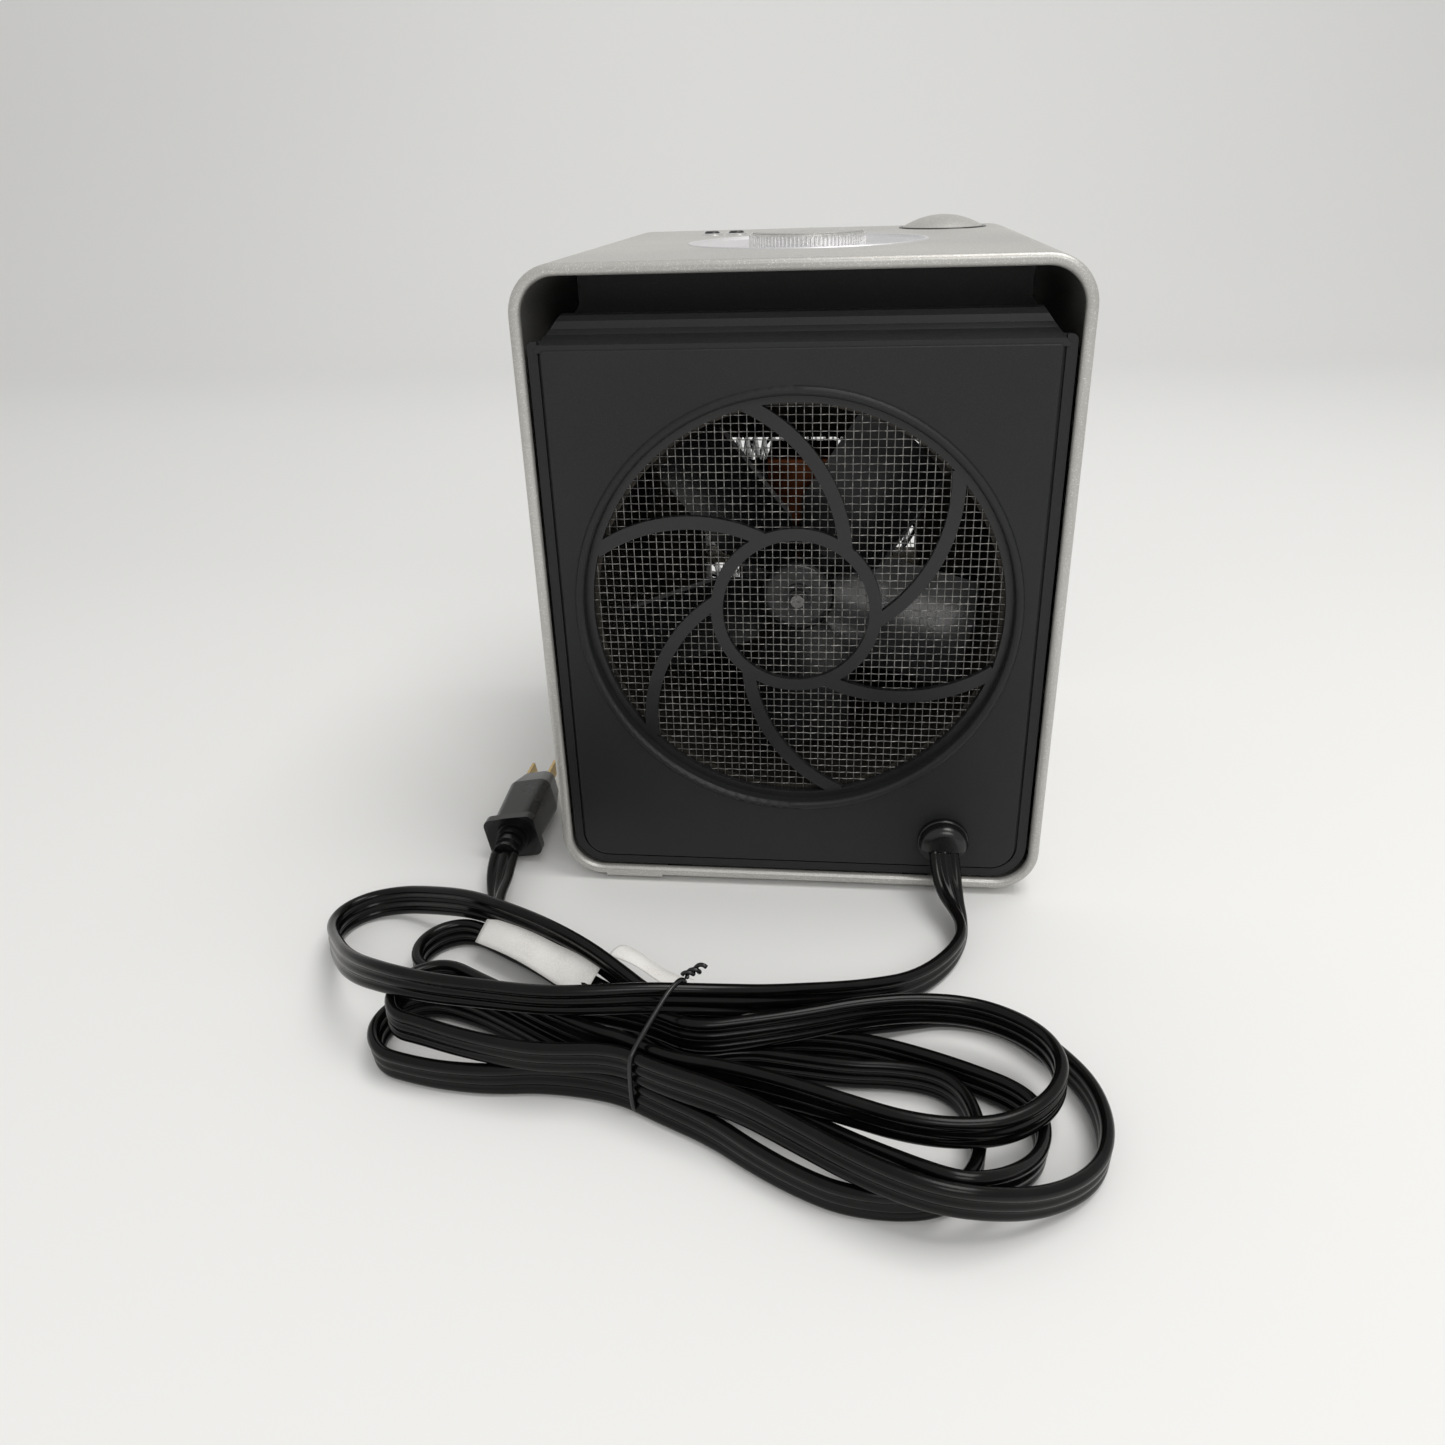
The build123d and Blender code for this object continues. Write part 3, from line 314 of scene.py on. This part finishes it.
# Near-black colour as painted shade for the dark inside of the heater: duct, baffle, brackets and mesh
# retainer, not the grey of galvanised steel.
GALVANISED_PAINTED_SHADE = grained("galvanised", (0.020, 0.018, 0.016), (0.055, 0.048, 0.040), 0.5, metallic=0.7,
                     grain=300.0)
FAN_PLASTIC = grained("fan_plastic", (0.004, 0.004, 0.0045), (0.008, 0.008, 0.0085), 0.3, coat=0.2)
STEEL = make_brushed("steel", (0.16, 0.16, 0.16), (0.26, 0.255, 0.25), 0.35, (300.0, 2500.0, 300.0))
LAMINATION = make_brushed("lamination", (0.10, 0.10, 0.11), (0.32, 0.31, 0.30), 0.4,
                          (90.0, 2000.0, 90.0), 0.05)
COPPER = make_brushed("copper", (0.06, 0.018, 0.008), (0.14, 0.045, 0.018), 0.4,
                      (60.0, 2400.0, 60.0), 0.08)
BRASS = grained("brass", (0.52, 0.36, 0.13), (0.70, 0.52, 0.24), 0.32, metallic=1.0)
ALUMINIUM = grained("aluminium", (0.62, 0.62, 0.63), (0.80, 0.80, 0.81), 0.3, metallic=1.0)
HEAT_PLASTIC = grained("heat_plastic", (0.10, 0.095, 0.088), (0.15, 0.142, 0.13), 0.55)
CERAMIC = grained("ceramic", (0.55, 0.47, 0.36), (0.68, 0.60, 0.48), 0.6, grain=900.0)
BEZEL_SILVER = make_sleeve_finish("bezel_silver", (0.60, 0.60, 0.62), (0.68, 0.67, 0.68))
DIAL_CHROME = make_brushed("dial_chrome", (0.70, 0.70, 0.70), (0.86, 0.86, 0.85), 0.16, (400.0, 400.0, 900.0))
BUTTON_DARK = grained("button_dark", (0.012, 0.012, 0.013), (0.02, 0.02, 0.021), 0.3)
BOARD_GREEN = grained("board_green", (0.012, 0.07, 0.025), (0.02, 0.11, 0.04), 0.35, coat=0.4)
RUBBER = grained("rubber", (0.012, 0.012, 0.012), (0.022, 0.022, 0.022), 0.75)
CORD_BLACK = make_cord_skin("cord_black")
PLUG_BLACK = grained("plug_black", (0.003, 0.003, 0.0032), (0.0055, 0.0055, 0.0058), 0.26, grain=1800.0)
PAPER = make_paper("paper")
STUDIO = make_studio("studio")

FINISHES = {
    "sleeve": SLEEVE_FINISH,
    "rubber_feet": RUBBER,
    "rear_housing": BLACK_PLASTIC,
    "inlet_guard": GUARD_BLACK,
    "mesh_retainer": GALVANISED_PAINTED_SHADE,
    "front_housing": BLACK_PLASTIC,
    "outlet_grille": GUARD_BLACK,
    "base_screws": STEEL,
    "air_duct": GALVANISED_PAINTED_SHADE,
    "motor_mount": GALVANISED_PAINTED_SHADE,
    "motor_stator": LAMINATION,
    "motor_coil": COPPER,
    "motor_bracket_rear": ALUMINIUM,
    "motor_bracket_front": ALUMINIUM,
    "motor_bearings": BRASS,
    "motor_screws": STEEL,
    "motor_rotor": LAMINATION,
    "motor_shaft": STEEL,
    "fan": FAN_PLASTIC,
    "fan_clip": GUARD_BLACK,
    "heater_baffle": GALVANISED_PAINTED_SHADE,
    "heater_frame": HEAT_PLASTIC,
    "heater_fins": ALUMINIUM,
    "ceramic_bars": CERAMIC,
    "heater_electrodes": BRASS,
    "outlet_duct": GALVANISED_PAINTED_SHADE,
    "thermal_cutoff": HEAT_PLASTIC,
    "thermal_fuse": CERAMIC,
    "control_bezel": BEZEL_SILVER,
    "thermostat_dial": DIAL_CHROME,
    "dial_cap": SLEEVE_FINISH,
    "dial_shaft": BRASS,
    "thermostat": HEAT_PLASTIC,
    "control_pan": BLACK_PLASTIC,
    "control_board": BOARD_GREEN,
    "board_screws": STEEL,
    "tact_switches": BUTTON_DARK,
    "power_ring": BUTTON_DARK,
    "power_button": SLEEVE_FINISH,
    "high_heat_ring": DIAL_CHROME,
    "high_heat_button": BUTTON_DARK,
    "low_heat_ring": DIAL_CHROME,
    "low_heat_button": BUTTON_DARK,
    "tip_bracket": GALVANISED_PAINTED_SHADE,
    "tip_pin": STEEL,
    "tip_pendulum": BRASS,
    "tip_microswitch": BUTTON_DARK,
    "strain_relief": PLUG_BLACK,
    "plug_body": PLUG_BLACK,
    "plug_prongs": BRASS,
}


def dress_cad_nodes():
    for node, material in FINISHES.items():
        data = NODES[node].data
        data.materials.clear()
        data.materials.append(material)


dress_cad_nodes()


# ---------------------------------------------------------------- mains lead
# The two free stretches of the lead have the same points as in part.py.
LEAD_ROUTE = [(-0.070, 0.125, 0.028), (-0.071, 0.133, 0.020), (-0.073, 0.141, 0.013),
              (-0.076, 0.150, 0.009), (-0.077, 0.160, 0.0073), (-0.075, 0.171, 0.0073),
              (-0.069, 0.183, 0.0073), (-0.060, 0.194, 0.0073), (-0.050, 0.203, 0.0085),
              (-0.038, 0.211, 0.0115), (-0.026, 0.2185, 0.015)]
TAIL_ROUTE = [(0.134, 0.166, 0.0073), (0.138, 0.157, 0.0073), (0.141, 0.148, 0.008),
              (0.143, 0.139, 0.0095), (0.1445, 0.130, 0.012), (0.145, 0.121, 0.014)]
CORE_R = 0.00245           # radius of each of the three cores
CORE_STEP = 0.0046         # from one core's middle to the next
TIE_MIDDLE = (0.043, 0.257)
TIE_TURN = math.radians(-27.0)
WAIST = 0.010              # the strands stay side by side this far to each side of the tie
TIP_SPREAD = 1.08          # a tip's control points stand at this many times its radius
SECTION_STEP = 20          # degrees between points on the outline of a core
LEAD_TURN = (0.004, 0.055)     # the lead turns on edge between these distances from the bushing
TAIL_TURN = (0.002, 0.05)      # and turns flat again between these distances from the plug
LEAN = 0.12                # how far the standing lead leans to and fro, in radians
LEAN_RATE = 31.0           # radians of that lean's wave in a metre of lead


def through_tie(across, high, to_left):
    """Two points that carry a strand straight through the tie."""
    c, s = math.cos(TIE_TURN), math.sin(TIE_TURN)
    x = TIE_MIDDLE[0] - s * across
    y = TIE_MIDDLE[1] + c * across
    pair = [(x - c * WAIST, y - s * WAIST, high), (x + c * WAIST, y + s * WAIST, high)]
    return pair if to_left else pair[::-1]


def left_tip(x, y, radius, heading, high):
    """Half a turn round (x, y) at the left end of a loop, from its near side to its far side."""
    way = math.radians(heading)
    points = []
    for angle in (22.5, 67.5, 112.5, 157.5):
        turn = way + math.pi / 2 - math.radians(angle)
        points.append((x + TIP_SPREAD * radius * math.cos(turn),
                       y + TIP_SPREAD * radius * math.sin(turn), high))
    return points


# The hank, strand by strand, from the bushing's end to the plug's. Most of these points were picked on
# the photograph with guessed heights, turned into millimetres by a program through the fitted camera,
# rounded, and partly moved.
HANK_ROUTE = (
    # over the top of everything to the upper left loop
    [(-0.010, 0.228, 0.0205), (0.006, 0.237, 0.026), (0.021, 0.243, 0.0305), (0.036, 0.247, 0.0335),
     (0.051, 0.250, 0.0355)]
    + [(0.068, 0.253, 0.036), (0.088, 0.255, 0.036), (0.112, 0.253, 0.036), (0.135, 0.251, 0.036),
       (0.155, 0.246, 0.0355), (0.177, 0.231, 0.028), (0.197, 0.204, 0.016), (0.2085, 0.184, 0.009),
       (0.2085, 0.170, 0.0074), (0.200, 0.160, 0.0074), (0.186, 0.157, 0.009),
       (0.169, 0.163, 0.014), (0.145, 0.174, 0.021),
       (0.126, 0.184, 0.023), (0.105, 0.193, 0.0225), (0.083, 0.205, 0.0205), (0.066, 0.219, 0.0195),
       (0.052, 0.232, 0.019), (0.037, 0.241, 0.019), (0.021, 0.2435, 0.018)]
    # widest loop on the right
    + [(0.005, 0.241, 0.0165), (-0.012, 0.235, 0.014), (-0.031, 0.227, 0.0105), (-0.050, 0.220, 0.008),
       (-0.068, 0.215, 0.0075), (-0.091, 0.220, 0.0075), (-0.109, 0.241, 0.0075),
       (-0.118, 0.258, 0.0073), (-0.119, 0.279, 0.0073), (-0.111, 0.298, 0.008), (-0.092, 0.313, 0.012),
       (-0.069, 0.322, 0.020), (-0.051, 0.321, 0.022), (-0.030, 0.312, 0.022), (-0.010, 0.300, 0.022),
       (0.012, 0.287, 0.022)]
    + through_tie(0.0165, 0.0214, True)
    # second loop on the left, lying on the lowest one
    + [(0.087, 0.270, 0.0214), (0.107, 0.267, 0.0214), (0.124, 0.263, 0.0213), (0.138, 0.2585, 0.0213)]
    + left_tip(0.137, 0.2415, 0.0176, -20.5, 0.0212)
    + [(0.122, 0.231, 0.0212), (0.107, 0.239, 0.0213), (0.091, 0.248, 0.0214), (0.068, 0.259, 0.0214)]
    + through_tie(0.011, 0.0214, False)
    # upper loop on the right
    + [(0.016, 0.275, 0.0225), (-0.006, 0.281, 0.023), (-0.027, 0.288, 0.023), (-0.047, 0.294, 0.0225),
       (-0.066, 0.295, 0.022), (-0.084, 0.291, 0.022), (-0.099, 0.278, 0.022), (-0.105, 0.261, 0.022),
       (-0.098, 0.244, 0.022), (-0.078, 0.232, 0.022), (-0.054, 0.232, 0.023), (-0.031, 0.237, 0.023),
       (-0.012, 0.244, 0.0227), (0.008, 0.250, 0.0225)]
    + through_tie(-0.0062, 0.0225, True)
    # small inner loop on the left
    + [(0.074, 0.238, 0.019), (0.093, 0.230, 0.013), (0.114, 0.223, 0.008), (0.131, 0.2175, 0.0075),
       (0.145, 0.213, 0.0075)]
    + left_tip(0.145, 0.1950, 0.0178, -23.0, 0.0075)
    + [(0.127, 0.186, 0.0075), (0.109, 0.196, 0.0075), (0.091, 0.209, 0.0074), (0.072, 0.226, 0.0073)]
    + through_tie(-0.0064, 0.0073, False)
    # inner loop on the right
    + [(0.012, 0.250, 0.0075), (-0.007, 0.252, 0.0075), (-0.027, 0.254, 0.0075), (-0.044, 0.253, 0.0075),
       (-0.060, 0.255, 0.0073), (-0.069, 0.262, 0.0073), (-0.073, 0.273, 0.0073),
       (-0.074, 0.287, 0.0073), (-0.070, 0.301, 0.0073), (-0.061, 0.310, 0.0073),
       (-0.047, 0.314, 0.0073), (-0.027, 0.313, 0.0073), (-0.012, 0.307, 0.0073),
       (0.004, 0.298, 0.0073), (0.021, 0.286, 0.0073)]
    + through_tie(0.0166, 0.0073, True)
    # lowest loop on the left
    + [(0.088, 0.265, 0.0073), (0.108, 0.268, 0.0073), (0.127, 0.2675, 0.0073), (0.142, 0.265, 0.0073)]
    + left_tip(0.143, 0.245, 0.0190, -15.0, 0.0073)
    + [(0.125, 0.231, 0.0073), (0.109, 0.239, 0.0073), (0.091, 0.249, 0.0073), (0.072, 0.260, 0.0073)]
    + through_tie(0.0105, 0.0073, False)
    # last loop on the right, over the inner one and back under the others
    + [(0.012, 0.270, 0.0074), (-0.006, 0.279, 0.0076), (-0.022, 0.289, 0.009), (-0.037, 0.301, 0.014),
       (-0.051, 0.313, 0.021), (-0.065, 0.318, 0.0218), (-0.078, 0.312, 0.018), (-0.090, 0.299, 0.012),
       (-0.096, 0.284, 0.008), (-0.096, 0.270, 0.0074), (-0.089, 0.261, 0.0074),
       (-0.076, 0.254, 0.0074), (-0.060, 0.247, 0.0074), (-0.042, 0.241, 0.0074),
       (-0.026, 0.238, 0.0074), (-0.008, 0.238, 0.0074), (0.010, 0.2405, 0.0073),
       (0.028, 0.2405, 0.0073), (0.046, 0.234, 0.0073)]
    # and off to the plug
    + [(0.068, 0.221, 0.0073), (0.091, 0.206, 0.0073), (0.111, 0.190, 0.0073), (0.125, 0.177, 0.0073)])


def cord_line():
    """Points of the smooth line that has the routes as its control points."""
    data = bpy.data.curves.new("cord_line", "CURVE")
    data.dimensions = "3D"
    data.resolution_u = 8
    spline = data.splines.new("NURBS")
    route = LEAD_ROUTE + HANK_ROUTE + TAIL_ROUTE
    spline.points.add(len(route) - 1)
    for point, at in zip(spline.points, route):
        point.co = (*at, 1.0)
    spline.order_u = 3
    spline.use_endpoint_u = True
    holder = bpy.data.objects.new("cord_line", data)
    bpy.context.collection.objects.link(holder)
    mesh = bpy.data.meshes.new_from_object(holder)
    line = [v.co.copy() for v in mesh.vertices]
    bpy.data.objects.remove(holder)
    return line


def cord_section():
    """Outline of three cores side by side, joined by webs, as (across, up) pairs."""
    top = []
    for core, first, last in ((1, 0, 140), (0, 40, 140), (-1, 40, 180)):
        for step in range(int((last - first) / SECTION_STEP) + 1):
            angle = math.radians(first + SECTION_STEP * step)
            top.append((core * CORE_STEP + CORE_R * math.cos(angle), CORE_R * math.sin(angle)))
    return top + [(x, -z) for x, z in reversed(top[1:-1])]


def along(line):
    """Distance from the start to each point of a line."""
    out = [0.0]
    for a, b in zip(line, line[1:]):
        out.append(out[-1] + (b - a).length)
    return out


def smooth_step(value, low, high):
    t = min(1.0, max(0.0, (value - low) / (high - low)))
    return t * t * (3 - 2 * t)


def cord_stand(distance, total):
    """How far the flat cord has turned from lying flat (0) to standing on edge (1)."""
    return min(smooth_step(distance, *LEAD_TURN), smooth_step(total - distance, *TAIL_TURN))


def make_cord():
    line = cord_line()
    section = cord_section()
    distance = along(line)
    points = []
    for at, way, gone in zip(line, directions(line), distance):
        flat = way.cross(Vector((0, 0, 1))).normalized()
        upright = flat.cross(way)
        stand = cord_stand(gone, distance[-1])
        angle = math.pi / 2 * stand
        lean = LEAN * math.sin(gone * LEAN_RATE) * stand
        wide = math.cos(angle + lean) * flat + math.sin(angle + lean) * upright
        thick = way.cross(wide)
        points += [at + x * wide + z * thick for x, z in section]
    faces = ring_faces(0, len(line), len(section))
    return new_piece("mains_cord", points, faces, CORD_BLACK), line


cord, cord_path = make_cord()


# ---------------------------------------------------------------- tie and labels
TIE_BOX = [Vector(c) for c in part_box("cord_tie")]
TIE_AT = (TIE_BOX[0] + TIE_BOX[1]) / 2
TIE_WIRE = 0.0010
TIE_TOP = 0.0412           # height of the tie's wire where it passes over the strands
TIE_CORNERS = [(0.0202, 0.0012), (0.0204, 0.0285), (-0.006, TIE_TOP), (-0.0165, TIE_TOP),
               (-0.0222, 0.0012)]
TIE_CUT, TIE_ROUNDS = 0.003, 3
KNOT_AT = 0.0160           # from the tie's middle to the foot of its twisted ends
KNOT_STEPS = 27
KNOT_TURN = 9.0            # radians that the two ends twist through
KNOT_R, KNOT_SPREAD = 0.0010, 0.0016
KNOT_BACK, KNOT_SIDE, KNOT_RISE = 0.006, 0.004, 0.0015
KNOT_WIRE = 0.85           # thickness of the ends, as a part of the tie's


def softened(corners, cut, rounds):
    """Closed outline with its corners cut off again and again, which rounds them."""
    count = len(corners)
    outline = []
    for i, corner in enumerate(corners):
        for other in (corners[i - 1], corners[(i + 1) % count]):
            outline.append(corner + (other - corner).normalized() * cut)
    for _ in range(rounds):
        closed = outline + outline[:1]
        outline = [p for a, b in zip(closed, closed[1:]) for p in (a.lerp(b, 0.25), a.lerp(b, 0.75))]
    return outline


def make_tie():
    """Twist tie: one turn of covered wire round the waist, and its two ends twisted together."""
    along_tie = Vector((-math.sin(TIE_TURN), math.cos(TIE_TURN), 0))
    across = Vector((math.cos(TIE_TURN), math.sin(TIE_TURN), 0))
    ground = Vector((TIE_AT.x, TIE_AT.y, 0))
    corners = [ground + along_tie * wide + Vector((0, 0, high)) for wide, high in TIE_CORNERS]
    points, faces = [], []
    add_tube(points, faces, softened(corners, TIE_CUT, TIE_ROUNDS), TIE_WIRE, 8, closed=True)
    foot = ground - along_tie * KNOT_AT + Vector((0, 0, TIE_TOP))
    for start in (0.0, math.pi):
        end = []
        for k in range(KNOT_STEPS + 1):
            t = k / KNOT_STEPS
            angle = start + t * KNOT_TURN
            reach = KNOT_R + KNOT_SPREAD * smooth_step(t, 0.75, 1.0)
            axis = (foot - along_tie * KNOT_BACK * t - across * KNOT_SIDE * t
                    + Vector((0, 0, KNOT_RISE * t)))
            end.append(axis + reach * (math.cos(angle) * across + math.sin(angle) * Vector((0, 0, 1))))
        add_tube(points, faces, end, TIE_WIRE * KNOT_WIRE, 8)
    return new_piece("twist_tie", points, faces, PLUG_BLACK)


tie = make_tie()


FLAG_THICK = 0.00025
FLAG_COLUMNS, FLAG_ROWS = 24, 12
FLAG_WAVE = 0.0015         # height of the paper's slow wave


def make_flag(name, middle, turn, width, depth, curl, tilt):
    """One blank paper flag, curled across its depth."""
    across = Vector((math.cos(turn), math.sin(turn), 0))
    over = Vector((-math.sin(turn), math.cos(turn), 0))
    columns, rows = FLAG_COLUMNS, FLAG_ROWS
    points = []
    for side in (0.0, FLAG_THICK):
        for i in range(columns + 1):
            u = i / columns - 0.5
            for j in range(rows + 1):
                v = j / rows - 0.5
                lift = curl * (math.cos(v * math.pi) - 0.4) + tilt * v * depth
                lift += FLAG_WAVE * math.sin(u * 5.0 + v * 2.0)
                points.append(middle + across * width * u + over * depth * v + Vector((0, 0, lift + side)))
    faces = []
    stride = rows + 1
    layer = (columns + 1) * stride
    for i in range(columns):
        for j in range(rows):
            a = i * stride + j
            faces.append((a, a + 1, a + stride + 1, a + stride))
            faces.append((layer + a, layer + a + stride, layer + a + stride + 1, layer + a + 1))
    first_column = list(range(rows))
    last_row = [i * stride + rows for i in range(columns)]
    last_column = [columns * stride + j for j in range(rows, 0, -1)]
    first_row = [i * stride for i in range(columns, 0, -1)]
    edge = first_column + last_row + last_column + first_row
    for a, b in zip(edge, edge[1:] + edge[:1]):
        faces.append((a, layer + a, layer + b, b))
    return new_piece(name, points, faces, PAPER)


big_flag = make_flag("label_flag_big", Vector((0.106, 0.198, 0.0170)), math.radians(-31), 0.066, 0.019,
                     0.002, -0.5)
small_flag = make_flag("label_flag_small", Vector((0.055, 0.213, 0.0215)), math.radians(-31), 0.034, 0.015,
                       0.003, 0.5)


# ---------------------------------------------------------------- wire cloth
CLOTH_BOX = [Vector(c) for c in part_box("inlet_mesh")]
CLOTH_AT = (CLOTH_BOX[0] + CLOTH_BOX[1]) / 2
RIM_GAP = 0.0004           # the wires stop this far inside the CAD mesh's edge
CLOTH_R = (CLOTH_BOX[1].x - CLOTH_BOX[0].x) / 2 - RIM_GAP
CLOTH_PITCH = 0.0034
WIRE_R = 0.00025
WEFT_CRIMP, WARP_CRIMP = 0.00019, 0.00006


def make_cloth():
    """Plain weave, with the level wires crimped over the nearly straight upright ones."""
    points, faces = [], []
    count = int(CLOTH_R / CLOTH_PITCH)
    step = CLOTH_PITCH / 4
    for level in (True, False):
        crimp = WEFT_CRIMP if level else -WARP_CRIMP
        for k in range(-count, count + 1):
            offset = k * CLOTH_PITCH
            reach = math.sqrt(CLOTH_R ** 2 - offset ** 2)
            steps = int(reach / step)
            wire = []
            for i in range(-steps, steps + 1):
                along_wire = i * step
                lift = crimp * math.cos(math.pi * (along_wire / CLOTH_PITCH + k))
                x, z = (along_wire, offset) if level else (offset, along_wire)
                wire.append(CLOTH_AT + Vector((x, lift, z)))
            add_tube(points, faces, wire, WIRE_R, 6)
    return new_piece("inlet_wire_cloth", points, faces, CLOTH_STEEL)


cloth = make_cloth()


# ---------------------------------------------------------------- who rides on what
for piece in (cord, tie, big_flag, small_flag, cloth):
    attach(piece, "root")
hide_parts("cord_lead", "cord_hank", "cord_tail")
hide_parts("cord_tie")
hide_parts("cord_labels")
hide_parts("cord_labels")
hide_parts("inlet_mesh")


# ---------------------------------------------------------------- studio
FLOOR_HALF = 2.6
FLOOR_BACK = -1.5         # where the floor starts to turn up behind the heater
FLOOR_DROP = 0.0002       # the floor lies this far below the feet
SWEEP_R = 0.9
SWEEP_STEPS = 24
WALL_TOP = 4.0


def make_backdrop():
    """Floor that turns up into a wall in one smooth sweep."""
    profile = [(FLOOR_HALF, -FLOOR_DROP)]
    for k in range(SWEEP_STEPS + 1):
        angle = math.pi / 2 * k / SWEEP_STEPS
        profile.append((FLOOR_BACK - SWEEP_R * math.sin(angle),
                        SWEEP_R * (1 - math.cos(angle)) - FLOOR_DROP))
    profile.append((FLOOR_BACK - SWEEP_R, WALL_TOP))
    points = []
    for y, z in profile:
        points += [(-FLOOR_HALF, y, z), (FLOOR_HALF, y, z)]
    faces = [(2 * i, 2 * i + 1, 2 * i + 3, 2 * i + 2) for i in range(len(profile) - 1)]
    backdrop = new_piece("backdrop", points, faces, STUDIO)


def soft_light(name, at, aim, size, power, colour=(1.0, 1.0, 1.0)):
    data = bpy.data.lights.new(name, "AREA")
    data.shape = "RECTANGLE"
    data.size, data.size_y = size
    data.energy = power
    data.color = colour
    light = bpy.data.objects.new(name, data)
    light.location = at
    light.rotation_euler = (Vector(aim) - Vector(at)).to_track_quat("-Z", "Y").to_euler()
    bpy.context.collection.objects.link(light)


def light_studio():
    world = bpy.data.worlds.new("studio")
    world.use_nodes = True
    sky = world.node_tree.nodes["Background"]
    sky.inputs["Color"].default_value = (1.0, 0.995, 0.98, 1.0)
    sky.inputs["Strength"].default_value = 0.58
    bpy.context.scene.world = world
    bpy.context.scene.view_settings.view_transform = "Standard"
    soft_light("overhead", (-0.6, 0.2, 1.8), (0, 0.15, 0.1), (1.2, 0.9), 17.0, (1.0, 0.99, 0.97))
    soft_light("behind_camera", (-0.5, 1.7, 1.2), (0, 0.1, 0.1), (1.0, 0.7), 8.0, (1.0, 0.99, 0.97))
    soft_light("wall", (0.3, -0.7, 1.3), (0.3, -2.4, 0.9), (2.0, 0.8), 4.0)


make_backdrop()
light_studio()
